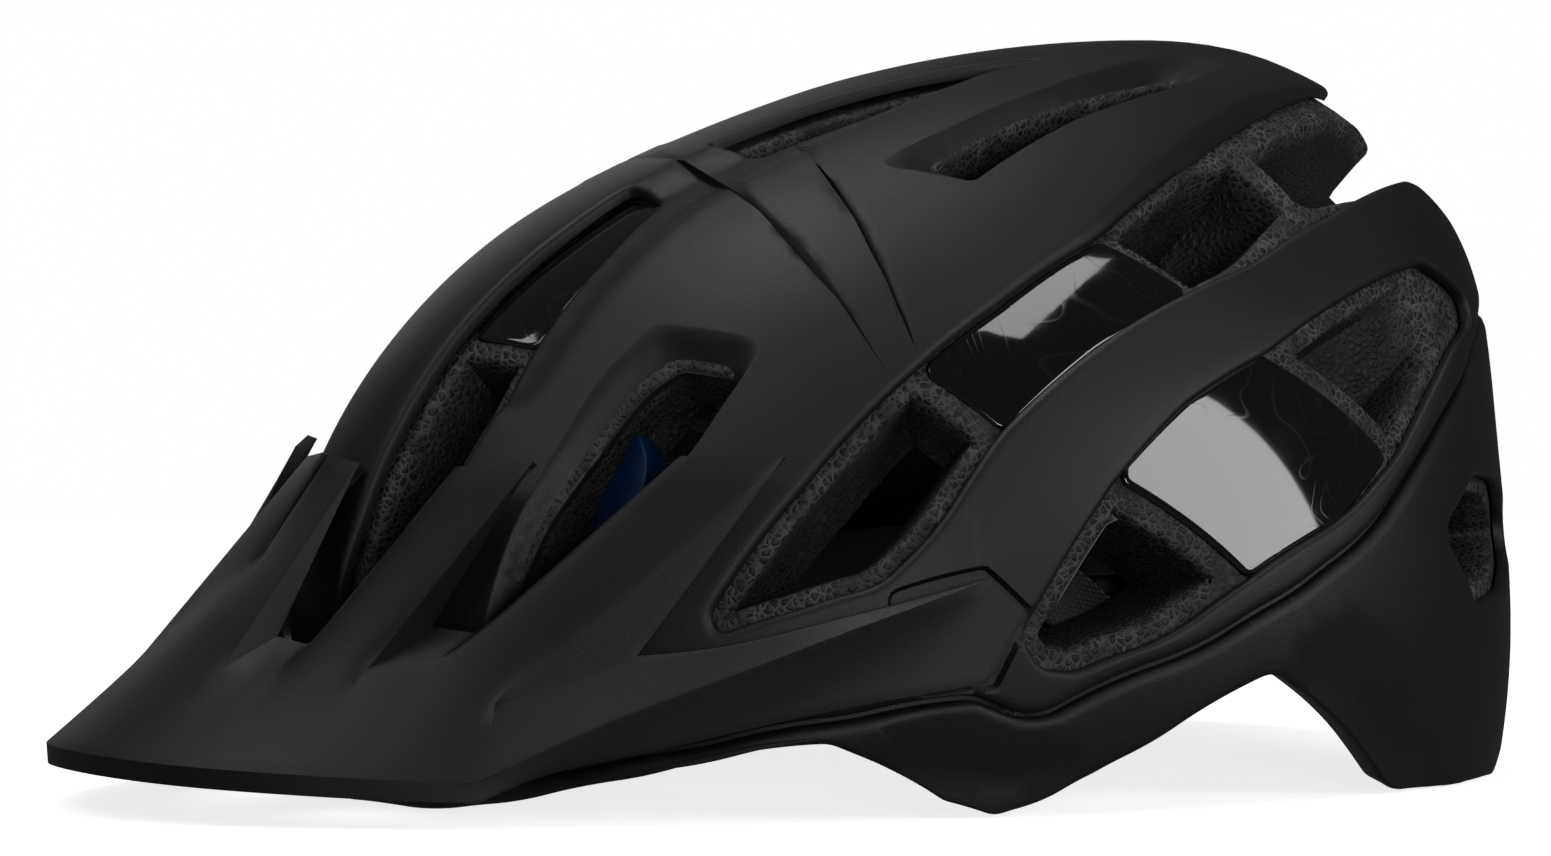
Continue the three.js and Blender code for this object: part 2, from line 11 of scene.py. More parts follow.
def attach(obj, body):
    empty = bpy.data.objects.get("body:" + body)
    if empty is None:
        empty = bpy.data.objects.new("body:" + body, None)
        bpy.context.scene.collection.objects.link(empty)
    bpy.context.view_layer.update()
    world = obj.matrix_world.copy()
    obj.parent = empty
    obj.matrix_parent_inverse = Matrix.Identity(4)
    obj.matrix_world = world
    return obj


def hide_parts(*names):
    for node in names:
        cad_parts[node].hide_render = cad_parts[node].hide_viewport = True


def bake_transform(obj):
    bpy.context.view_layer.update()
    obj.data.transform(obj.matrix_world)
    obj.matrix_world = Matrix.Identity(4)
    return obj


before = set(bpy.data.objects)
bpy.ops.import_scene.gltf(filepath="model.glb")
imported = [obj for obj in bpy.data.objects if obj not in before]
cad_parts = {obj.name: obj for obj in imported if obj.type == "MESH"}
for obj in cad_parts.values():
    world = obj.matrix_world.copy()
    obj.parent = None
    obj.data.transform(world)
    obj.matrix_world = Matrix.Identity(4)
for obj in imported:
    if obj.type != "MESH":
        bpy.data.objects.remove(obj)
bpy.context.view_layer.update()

# ---------------------------------------------------------------- dimensions shared with the CAD
SHIFT_Y = 33.25
CENTRE = np.array([0.0, 0.0, 36.0])
OUTER = dict(w=107.0, up=124.5, down=130.0, front=-143.0, rear=134.0, wide=12.0, crown=60.0,
             pf=2.1, pr=2.9, pwf=2.05, pwr=2.5)
INNER = dict(w=81.0, up=97.0, down=420.0, front=-114.0, rear=107.0, wide=6.0, crown=20.0,
             pf=2.2, pr=2.5, pwf=2.1, pwr=2.3)
# azimuth and elevation from CENTRE, width in degrees, height: the flatter brow, the fuller tail and collar
BULGES = [(26, 21, 17, -4.6), (0, 64, 26, -2.6), (155, 33, 13, 4.8), (153, -5, 15, 1.6), (180, 60, 20, 1.2)]
FOAM_DEPTH = -3.3      # foam surface under the skins
PANEL_DEPTH = -2.5     # gloss panels


X, Y, Z = np.eye(3)
SIDES = ((1, "left"), (-1, "right"))


def unit(v):
    return v / np.linalg.norm(v, axis=-1, keepdims=True)


def aim(azimuth, elevation):
    """Direction from azimuth and elevation in degrees; azimuth 0 is ahead and 90 is to the left."""
    a, e = math.radians(azimuth), math.radians(elevation)
    return np.array([math.sin(a) * math.cos(e), -math.cos(a) * math.cos(e), math.sin(e)])


def around(n, start=0):
    """Neighbouring index pairs round a closed loop of n points."""
    return [(start + i, start + (i + 1) % n) for i in range(n)]


# ---------------------------------------------------------------- surface of the helmet
def profile(y, middle, p, front_power, rear_power):
    t = np.where(y < middle, (middle - y) / (middle - p["front"]), (y - middle) / (p["rear"] - middle))
    e = np.where(y < middle, front_power, rear_power)
    return np.maximum(1 - np.clip(t, 0, 1) ** e, 0) ** (1 / e) + 1e-6


def level(points, p):
    x, y, z = points[..., 0], points[..., 1], points[..., 2]
    g = profile(y, p["wide"], p, p["pwf"], p["pwr"]) * p["w"]
    rise = np.where(z > CENTRE[2], p["up"], p["down"])
    h = profile(y, p["crown"], p, p["pf"], p["pr"]) * rise
    value = (x / g) ** 2 + ((z - CENTRE[2]) / h) ** 2 - 1
    return np.where((y <= p["front"]) | (y >= p["rear"]), 1.0, value)


def reach(dirs, p):
    low = np.ones(len(dirs))
    high = np.full(len(dirs), 460.0)
    for _ in range(36):
        middle = (low + high) / 2
        out = level(CENTRE + dirs * middle[:, None], p) > 0
        high = np.where(out, middle, high)
        low = np.where(out, low, middle)
    return low


def to_chart(points):
    d = unit(np.asarray(points, float) - CENTRE)
    return d[..., :2] / (1 + d[..., 2:3])


def to_dirs(chart):
    r2 = (chart ** 2).sum(-1, keepdims=True)
    return np.concatenate([2 * chart, 1 - r2], -1) / (1 + r2)


def swell(dirs):
    """What the outer surface adds to its plain formula, in millimetres."""
    total = np.zeros(len(dirs))
    for azimuth, elevation, width, amount in BULGES:
        for side in ((1, -1) if azimuth % 180 else (1,)):
            angle = np.degrees(np.arccos(np.clip(dirs @ aim(azimuth * side, elevation), -1, 1)))
            total += amount * np.exp(-(angle / width) ** 2)
    return total


def surface(chart, p):
    dirs = to_dirs(chart)
    out = reach(dirs, p)
    if p is OUTER:
        out = out + swell(dirs)
    return CENTRE + dirs * out[:, None]


def normals(chart, p):
    e = 2e-3
    a = surface(chart + [e, 0], p) - surface(chart - [e, 0], p)
    b = surface(chart + [0, e], p) - surface(chart - [0, e], p)
    n = unit(np.cross(a, b))
    flip = np.sign((n * to_dirs(chart)).sum(1, keepdims=True))
    return n * flip


def lift(chart, depth, p=OUTER):
    return surface(chart, p) + normals(chart, p) * np.asarray(depth, float).reshape(-1, 1)


def scale_at(chart, p=OUTER):
    """Millimetres for one chart unit."""
    r2 = (chart ** 2).sum(-1)
    return 2 * reach(to_dirs(chart), p) / (1 + r2)


# ---------------------------------------------------------------- outlines in the chart
def rounded(points, radius=3.0, step=1.2, closed=True):
    """Corners [x, y, z] or [x, y, z, own radius], joined with fillets, as an even chart polyline."""
    pts = to_chart([q[:3] for q in points])
    radii = [q[3] if len(q) > 3 else radius for q in points]
    mm = scale_at(pts)
    n = len(pts)
    path = []
    for i in range(n):
        if not closed and i in (0, n - 1):
            path.append(pts[i])
            continue
        before, here, after = pts[i - 1], pts[i], pts[(i + 1) % n]
        a, b = before - here, after - here
        la, lb = np.linalg.norm(a), np.linalg.norm(b)
        a, b = a / la, b / lb
        angle = math.acos(max(-1, min(1, float(a @ b))))
        if angle > math.radians(178):
            path.append(here)
            continue
        cut = min(radii[i] / mm[i] / math.tan(angle / 2), 0.48 * la, 0.48 * lb)
        r = cut * math.tan(angle / 2)
        start, end = here + a * cut, here + b * cut
        middle = here + (a + b) / np.linalg.norm(a + b) * math.hypot(cut, r)
        count = max(2, int(round((math.pi - angle) * r * mm[i] / (step * 0.7))) + 1)
        v0, v1 = start - middle, end - middle
        t0 = math.atan2(v0[1], v0[0])
        turn = (math.atan2(v1[1], v1[0]) - t0 + math.pi) % (2 * math.pi) - math.pi
        for k in range(count + 1):
            t = t0 + turn * k / count
            path.append(middle + r * np.array([math.cos(t), math.sin(t)]))
    path = np.array(path)
    if closed:
        path = np.vstack([path, path[:1]])
    seg = np.linalg.norm(np.diff(path, axis=0), axis=1) * scale_at((path[1:] + path[:-1]) / 2)
    run = np.concatenate([[0], np.cumsum(seg)])
    count = max(8, int(round(run[-1] / step)))
    at = np.linspace(0, run[-1], count + 1)
    line = np.stack([np.interp(at, run, path[:, k]) for k in (0, 1)], 1)
    return line[:-1] if closed else line


def area(loop):
    x, y = loop[:, 0], loop[:, 1]
    return 0.5 * float(np.sum(x * np.roll(y, -1) - np.roll(x, -1) * y))


def ccw(loop):
    return loop if area(loop) > 0 else loop[::-1]


def offset(loop, amount):
    """Moves a counter-clockwise loop inwards by amount in millimetres (negative is outwards)."""
    ahead = np.roll(loop, -1, 0) - np.roll(loop, 1, 0)
    n = np.stack([-ahead[:, 1], ahead[:, 0]], 1)
    n /= np.linalg.norm(n, axis=1, keepdims=True) + 1e-12
    return loop + n * (np.asarray(amount) / scale_at(loop))[:, None]


def mirror(loop):
    return (loop * [-1, 1])[::-1]


def within(points, loop):
    x, y = points[:, 0], points[:, 1]
    inside = np.zeros(len(points), bool)
    a, b = loop, np.roll(loop, -1, 0)
    for (x0, y0), (x1, y1) in zip(a, b):
        if y0 == y1:
            continue
        crosses = ((y0 > y) != (y1 > y)) & (x < (x1 - x0) * (y - y0) / (y1 - y0) + x0)
        inside ^= crosses
    return inside


def near_line(points, line, closed=False):
    """Signed chart distance to a polyline in millimetres: positive on its left."""
    best = np.full(len(points), 1e9)
    sign = np.ones(len(points))
    ends = np.roll(line, -1, 0) if closed else line[1:]
    for p0, p1 in zip(line, ends):
        d = p1 - p0
        t = np.clip(((points - p0) @ d) / (d @ d + 1e-18), 0, 1)
        away = points - (p0 + t[:, None] * d)
        dist = np.hypot(away[:, 0], away[:, 1])
        closer = dist < best
        best = np.where(closer, dist, best)
        side = d[0] * (points[:, 1] - p0[1]) - d[1] * (points[:, 0] - p0[0])
        sign = np.where(closer, np.sign(side), sign)
    return best * sign * scale_at(points)


def ease(t):
    t = np.clip(t, 0, 1)
    return t * t * (3 - 2 * t)


def even_points(spacing):
    """Chart points at an even spacing in millimetres, in rings down from the crown."""
    lowest, mean_radius = math.radians(125), 115
    grid = []
    rings = int(lowest * mean_radius / spacing)
    for i in range(rings + 1):
        polar = lowest * i / rings
        count = max(1, int(2 * math.pi * math.sin(polar) * mean_radius / spacing))
        r = math.tan(polar / 2)
        for k in range(count):
            t = 2 * math.pi * (k + 0.5 * (i % 2)) / count
            grid.append((r * math.sin(t), -r * math.cos(t)))
    return np.array(grid)


# ---------------------------------------------------------------- meshes
class Sheet:
    """Collects chart points with a depth, and turns them into one mesh."""

    def __init__(self, p=OUTER, shape=None):
        self.p = p
        self.shape = shape
        self.chart, self.depth, self.faces, self.total = [], [], [], 0

    def add(self, chart, depth):
        start = self.total
        self.chart.append(np.asarray(chart, float))
        self.depth.append(np.broadcast_to(np.asarray(depth, float), (len(chart),)).copy())
        self.total += len(chart)
        return np.arange(start, self.total)

    def strip(self, a, b):
        self.faces += [(a[i], a[j], b[j], b[i]) for i, j in around(len(a))]

    def rings(self, loop, steps, inward=True):
        """Rows of points from a loop into the region: steps are (inset, depth) pairs."""
        rows = []
        for inset, depth in steps:
            moved = offset(loop, inset if inward else -np.asarray(inset))
            deep = depth(moved) if callable(depth) else depth
            rows.append(self.add(moved, deep))
        for a, b in zip(rows, rows[1:]):
            if inward:
                self.strip(a, b)
            else:
                self.strip(b, a)
        return rows[-1]

    def fill(self, outer, holes=(), spacing=3.0, depth=0.0, lines=()):
        """Triangles between index loops already added; lines are chart polylines kept as edges."""
        chart = np.concatenate(self.chart)
        loops = [outer, *holes]
        border = [chart[ids] for ids in loops]
        coords, ids, edges = [], [], []
        for loop_ids, loop in zip(loops, border):
            base = len(coords)
            coords += list(loop)
            ids += list(loop_ids)
            edges += around(len(loop), base)
        tree_points = list(coords)
        extra = []
        for line in lines:
            ok = within(line, border[0])
            for hole in border[1:]:
                ok &= ~within(line, hole)
            base = len(coords) + len(extra)
            kept = -1
            for k, good in enumerate(ok):
                if good:
                    extra.append(line[k])
                    if kept == k - 1:
                        edges.append((len(coords) + len(extra) - 2, len(coords) + len(extra) - 1))
                    kept = k
        tree_points += extra
        tree = kdtree.KDTree(len(tree_points))
        for k, q in enumerate(tree_points):
            tree.insert((*q, 0), k)
        tree.balance()
        grid = even_points(spacing)
        grid = grid[((grid > border[0].min(0)) & (grid < border[0].max(0))).all(1)]
        keep = within(grid, border[0])
        for hole in border[1:]:
            keep &= ~within(grid, hole)
        grid = grid[keep]
        room = 0.62 * spacing / scale_at(grid)
        free = [q for q, gap in zip(grid, room) if tree.find((*q, 0))[2] > gap]
        grid = np.array(free).reshape(-1, 2)
        inner = np.array(extra + list(grid)).reshape(-1, 2)
        if len(inner):
            new = self.add(inner, depth(inner) if callable(depth) else depth)
            coords += list(inner)
            ids += list(new)
        out = geometry.delaunay_2d_cdt([Vector(q) for q in coords], edges, [], 0, 1e-9)
        verts, tris, origin = np.array([tuple(v) for v in out[0]]), out[2], out[3]
        back = []
        for k, source in enumerate(origin):
            if source:
                back.append(ids[source[0]])
            else:
                q = verts[k:k + 1]
                back.append(self.add(q, depth(q) if callable(depth) else depth)[0])
        tri = np.array(tris)
        middle = verts[tri].mean(1)
        keep = within(middle, border[0])
        for hole in border[1:]:
            keep &= ~within(middle, hole)
        for a, b, c in tri[keep]:
            self.faces.append((back[a], back[b], back[c]))

    def points(self):
        chart = np.concatenate(self.chart)
        depth = np.concatenate(self.depth)
        if self.shape is not None:
            depth = depth + self.shape(chart)
        return lift(chart, depth, self.p)


def place(points):
    return (np.asarray(points, float) + [0, SHIFT_Y, 0]) / 1000.0


def vertices(obj):
    """Vertex places of a piece in metres."""
    flat = np.empty(len(obj.data.vertices) * 3)
    obj.data.vertices.foreach_get("co", flat)
    return flat.reshape(-1, 3)


def add_object(name, data):
    obj = bpy.data.objects.new(name, data)
    bpy.context.scene.collection.objects.link(obj)
    return obj


def shade(mesh, smooth=True):
    for poly in mesh.polygons:
        poly.use_smooth = smooth


def ease_edges(obj, width, segments, angle):
    """Rounds the edges steeper than angle, width in millimetres."""
    edge = obj.modifiers.new("edge", "BEVEL")
    edge.width = width / 1000
    edge.segments = segments
    edge.limit_method = "ANGLE"
    edge.angle_limit = math.radians(angle)
    apply_all(obj)


def make(name, points, faces, material, body="helmet", nodes=(), smooth=True, merge=0.02, flip=False):
    mesh = bpy.data.meshes.new(name)
    faces = [tuple(int(i) for i in (f[::-1] if flip else f)) for f in faces]
    mesh.from_pydata([tuple(v) for v in place(points)], [], faces)
    bm = bmesh.new()
    bm.from_mesh(mesh)
    if merge:
        bmesh.ops.remove_doubles(bm, verts=bm.verts, dist=merge / 1000)
    loose = [v for v in bm.verts if not v.link_faces]
    bmesh.ops.delete(bm, geom=loose, context="VERTS")
    bmesh.ops.recalc_face_normals(bm, faces=bm.faces)
    bm.to_mesh(mesh)
    bm.free()
    shade(mesh, smooth)
    obj = add_object(name, mesh)
    if material is not None:
        mesh.materials.append(material)
    if body:
        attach(obj, body)
    if nodes:
        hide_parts(*nodes)
    return obj


def sharpen(obj, degrees):
    """Marks edges steeper than this as sharp."""
    bm = bmesh.new()
    bm.from_mesh(obj.data)
    for e in bm.edges:
        e.smooth = not (len(e.link_faces) == 2 and e.calc_face_angle(0) > math.radians(degrees))
    bm.to_mesh(obj.data)
    bm.free()


# ---------------------------------------------------------------- outlines, left half: x, y, z, corner radius
SEAM = [(0, -143, 5), (30, -135, 6), (59, -113, 9), (80, -89, 16), (94, -61, 22), (102, -36, 26, 12),
        (104, -23, 20, 12), (107, 15, 34), (106, 40, 46), (101, 61, 57), (93, 78, 72), (78, 101, 89),
        (61, 110, 99)]
SLOT_LOWER = [(52, 114, 102, 3), (51, 109, 120, 9), (53, 100, 131, 9), (69, 67, 122), (82, 42, 114),
              (86, 25, 109), (91, 0, 98), (96, -27, 80), (98, -43, 60), (96, -55, 49, 14), (90, -72, 44),
              (81, -84, 39, 3)]
SLOT_UPPER = [(84, -90, 43, 4), (85, -80, 56), (87, -68, 70), (87, -55, 83), (86, -41, 94), (83, -20, 107),
              (76, 9, 121), (59, 42, 136), (37, 82, 151, 30), (20, 100, 150, 8), (0, 103, 150)]
COLLAR = [(52, 115, 100, 4), (34, 123, 101), (19, 131, 100), (0, 132, 98)]
RIM = [(0, -140, -2), (33, -129, -1), (53, -119, 2), (72, -97, 9), (92, -65, 16, 8), (99, -41, 2, 6),
       (99, -29, -1, 6), (100, -19, 2), (106, 5, 14), (109, 35, 28, 7), (103, 52, 17), (95, 70, 0, 8),
       (90, 92, -2, 10), (69, 109, 0, 10), (52, 121, 10), (34, 128, 24), (0, 133, 30)]
FRONT_CHANNEL = [(12, -145, 31, 4), (15, -133, 60), (15, -124, 80), (14, -110, 97), (14, -87, 120),
                 (12, -71, 129, 3), (23, -70, 129, 4), (29, -87, 118), (33, -106, 98), (35, -113, 84),
                 (35, -122, 72), (33, -131, 58), (26, -136, 42), (24, -141, 31, 4)]
FRONT_VENT = FRONT_CHANNEL[:3] + [(14, -111, 96, 2), (32, -103, 95, 3)] + FRONT_CHANNEL[9:]
TOP_VENT = [(10, -55, 142, 2), (10, -30, 150), (13, -7, 155), (16, 18, 161), (17, 35, 160, 1.5),
            (17, 16, 154), (21, -3, 155), (24, -20, 146), (24, -46, 136, 3)]
HOOD_BREAK = [(52, -86, 103, 5), (70, -68, 99, 4), (70, -75, 89), (70, -85, 75), (67, -107, 54),
              (59, -118, 34, 6), (51, -128, 36, 6), (50, -117, 60), (51, -109, 77), (50, -98, 92)]
HOOD_VENT = [(60, -84, 94, 3), (67, -72, 90, 3), (70, -79, 85), (72, -89, 76), (66, -106, 54),
             (59, -118, 37, 4), (53, -122, 39, 4), (54, -111, 62), (57, -103, 77), (56, -89, 88)]
SCOOP_BREAK = [(45, -31, 132, 3), (41, -9, 141), (34, 16, 149), (25, 47, 162), (17, 65, 163, 5),
               (24, 72, 156, 6), (38, 50, 151), (49, 18, 146), (61, -14, 133, 3)]
SCOOP_VENT = [(48, -19, 134, 2), (46, -9, 142), (38, 15, 148), (33, 39, 155), (28, 55, 157, 2),
              (37, 49, 151), (49, 18, 148), (58, -12, 131, 3)]
WINDOW = [(104, -26, 38, 3), (102, -3, 69, 12), (98, 18, 86, 6), (93, 41, 96), (73, 82, 110, 12),
          (72, 93, 114, 5), (63, 109, 100, 6), (76, 98, 95, 14), (95, 72, 72), (102, 55, 60),
          (106, 28, 48), (107, 8, 36), (105, -14, 30, 10), (105, -22, 31, 5)]
WINDOW_VENT = [(104, -26, 38, 4), (102, -3, 69, 5), (108, 28, 48, 4), (107, 8, 36), (105, -14, 30, 10),
               (105, -22, 31, 4)]
WINDOW_SCOOP = [(94, 44, 97, 3)] + WINDOW[4:8] + [(92, 72, 72, 3)]
SIDE_VENT = SLOT_UPPER[:4] + [(88, -43, 95, 2), (96, -27, 80, 2)] + SLOT_LOWER[8:]
TAIL_VENT = [(77, 10, 123, 2), (60, 41, 136), (58, 52, 139, 2), (69, 61, 125, 3), (82, 42, 114),
             (86, 27, 109, 2)]
SIDE_PANEL = [(87, -41, 95), (84, -20, 108), (76, 9, 121), (87, 28, 110), (93, 0, 99), (97, -25, 81)]
WINDOW_PANEL = [(103, -2, 71), (99, 18, 87), (95, 41, 98), (93, 70, 72), (104, 56, 60), (106, 29, 48)]
FRONT_PANEL = [(15, -115, 101), (14, -90, 123), (12, -75, 133), (24, -71, 130), (30, -88, 119),
               (34, -107, 99)]
REAR_VENT = [(82, 99, 67, 3), (94, 85, 56, 5), (85, 95, 39, 3), (74, 109, 41, 5), (51, 126, 51, 5),
             (70, 114, 65, 5)]
TAIL_GAP = [(57, 56, 139, 4), (40, 85, 145, 12), (19, 108, 135, 8), (0, 112, 132)]
NECK_VENT = [(34, 110, 121, 4), (30, 122, 104, 4), (14, 128, 102, 4), (13, 118, 119, 4)]
TAIL_GAP_LOW = [(0, 132, 98), (19, 131, 100), (34, 123, 103), (52, 104, 124, 8), (69, 63, 125, 5)]


def corners(points, radius):
    return [q if len(q) > 3 else (*q, radius) for q in points]


def whole(half, radius=50.0, step=1.4):
    """A loop round the helmet from the half that starts and ends on the centre plane."""
    left = corners(half, radius)
    right = [(-q[0], *q[1:]) for q in left[-2:0:-1]]
    return ccw(rounded(left + right, radius, step))


def sided(points, side, radius=50.0, step=1.2):
    loop = ccw(rounded(corners(points, radius), radius, step))
    return loop if side > 0 else ccw(mirror(loop))


# ---------------------------------------------------------------- shape of the skins
def pair(points):
    """The same outline on the left (1) and on the right (-1)."""
    return {s: sided(points, s) for s in (1, -1)}


def closed(loop):
    return np.vstack([loop, loop[:1]])


BRIDGE = pair([(17.5, -126, 84), (17.5, -57, 139), (17.5, 17, 157), (15, 38, 160, 2), (19.5, 17, 157),
               (30, -24, 147), (34, -50, 137), (36, -72, 127), (42, -104, 100), (44, -118, 84)])
EAR_FACET = pair([(106, 30, 28), (104.5, 56, 42, 5), (98, 78, 26), (90, 92, 6), (90, 92, -8), (100, 60, -8)])
TIP_FACET = pair([(104, -26, 24, 4), (104, -16, 19), (103.5, -6, 9), (100, -20, -10), (92, -48, -6),
                  (90, -62, 14), (96, -50, 22)])
ARM_SEAT = pair([(104, -34, 53.5, 2), (106.8, -23.2, 43, 2), (105.2, -32, 26.5, 3), (101, -50, 25, 3),
                 (99, -56, 48, 3)])


def sink(chart, loop, amount, width, flat=False):
    """Lowers the inside of a loop by amount, reached width millimetres in; flat gives a plane facet."""
    low, high = loop.min(0) - 0.02, loop.max(0) + 0.02
    near = ((chart > low) & (chart < high)).all(1)
    out = np.zeros(len(chart))
    if near.any():
        d = near_line(chart[near], loop, closed=True)
        out[near] = -amount * (np.clip(d / width, 0, 1) if flat else ease(d / width))
    return out


def skin_shape(chart):
    p = surface(chart, OUTER)
    x, y, z = np.abs(p[:, 0]), p[:, 1], p[:, 2]
    total = 1.1 * ease((17.2 - x) / 4.5) * ease((100 - y) / 40) * ease((z - 36) / 12)
    for s in (1, -1):
        total = total + sink(chart, BRIDGE[s], 1.6, 4.0) + sink(chart, ARM_SEAT[s], 1.3, 0.9, True)
    return total


def lower_shape(chart):
    total = np.zeros(len(chart))
    for s in (1, -1):
        total += sink(chart, EAR_FACET[s], 4.2, 22.0, True) + sink(chart, TIP_FACET[s], 3.6, 18.0, True)
    return total


def to_floor(points):
    """Nothing reaches under the plane that the helmet rests on."""
    points[:, 2] = np.maximum(points[:, 2], 0.0)
    return points


def ramp(loop_out, loop_in, deep, power=1.0):
    def depth(chart):
        a = np.abs(near_line(chart, loop_out, closed=True))
        b = np.abs(near_line(chart, loop_in, closed=True))
        return -deep * ease(a / (a + b + 1e-9)) ** power
    return depth


ROLL = [(0.0, -2.6), (0.0, -1.1), (0.3, -0.42), (0.9, -0.1), (1.7, 0.0)]
TIGHT = [(0.0, -2.6), (0.0, -0.7), (0.2, -0.22), (0.6, -0.04), (1.1, 0.0)]


def slot_chamfer(loop):
    """The crown's lower edge turns down in a chamfer that widens towards the tail."""
    p = surface(loop, OUTER)
    y, z = p[:, 1], p[:, 2]
    crown = ease((z - (64 + 0.62 * (y + 55))) / 8)
    return 1.7 + 3.6 * crown * ease((y + 45) / 110)


def upper_shell(material):
    sheet = Sheet(OUTER, skin_shape)
    outline = whole(SEAM + SLOT_LOWER + SLOT_UPPER, step=1.2)
    width = slot_chamfer(outline)
    deep = 1.0 + 0.45 * (width - 1.7)
    rows = [(0.0, -2.6), (0.0, -deep - 0.25), (0.18 * width, -deep * 0.62), (0.62 * width, -deep * 0.16),
            (width, -deep * 0.02), (width + 1.0, 0.0)]
    border = [sheet.add(offset(outline, a), b) for a, b in rows]
    for a, b in zip(border, border[1:]):
        sheet.strip(a, b)
    holes = []
    for s in (1, -1):
        for points, steps in ((FRONT_CHANNEL, ROLL), (TOP_VENT, TIGHT), (WINDOW, ROLL)):
            holes.append(sheet.rings(sided(points, s), steps, inward=False))
        for outer, inner, deep_by in ((HOOD_BREAK, HOOD_VENT, 4.2), (SCOOP_BREAK, SCOOP_VENT, 3.2)):
            a, b = sided(outer, s, step=1.0), sided(inner, s, step=1.0)
            slope = ramp(a, b, deep_by, 0.8)
            holes.append(sheet.rings(a, [(0.0, 0.0), (0.5, 0.0)], inward=False))
            top = sheet.rings(a, [(0.0, 0.0), (0.35, slope)])
            wall = [(0.0, -deep_by - 2.0), (0.0, -deep_by - 0.4), (0.25, -deep_by)]
            low = sheet.rings(b, wall, inward=False)
            sheet.fill(top, [low], 1.6, slope)
    lines = [closed(loop) for s in (1, -1) for loop in (ARM_SEAT[s], offset(ARM_SEAT[s], 0.9))]
    sheet.fill(border[-1], holes, 3.0, 0.0, lines)
    obj = make("upper_shell_skin", to_floor(sheet.points()), sheet.faces, material, nodes=("upper_shell",))
    sharpen(obj, 40)
    return obj


def lower_shell(material):
    sheet = Sheet(OUTER, lower_shape)
    rim = whole(RIM, step=1.2)
    wrap = [(7.5, -9.5), (2.4, -8.5), (0.7, -7.0), (0.25, -3.0), (0.0, -1.6), (0.15, -0.7), (0.7, -0.15),
            (1.6, 0.0)]
    border = sheet.rings(rim, wrap)
    top = whole(SEAM + COLLAR, step=1.2)
    groove = [(-2.2, -3.05), (0.0, -2.85), (0.0, -1.9), (0.35, -1.0), (1.1, -0.35), (2.3, -0.05), (3.0, 0.0)]
    holes = [sheet.rings(offset(top, -1.3), groove, inward=False)]
    for s in (1, -1):
        holes.append(sheet.rings(sided(REAR_VENT, s), ROLL, inward=False))
    lines = [closed(loop) for facet in (EAR_FACET, TIP_FACET) for loop in facet.values()]
    sheet.fill(border, holes, 3.0, 0.0, lines)
    obj = make("lower_shell_skin", to_floor(sheet.points()), sheet.faces, material, nodes=("lower_shell",))
    sharpen(obj, 40)
    return obj


def raised(rim):
    """The foam ends higher on the head side of the rear lobes."""
    p = surface(rim, INNER)
    p[:, 2] += 16 * ease((p[:, 1] - 18) / 20) * ease((112 - p[:, 1]) / 20)
    return to_chart(p)


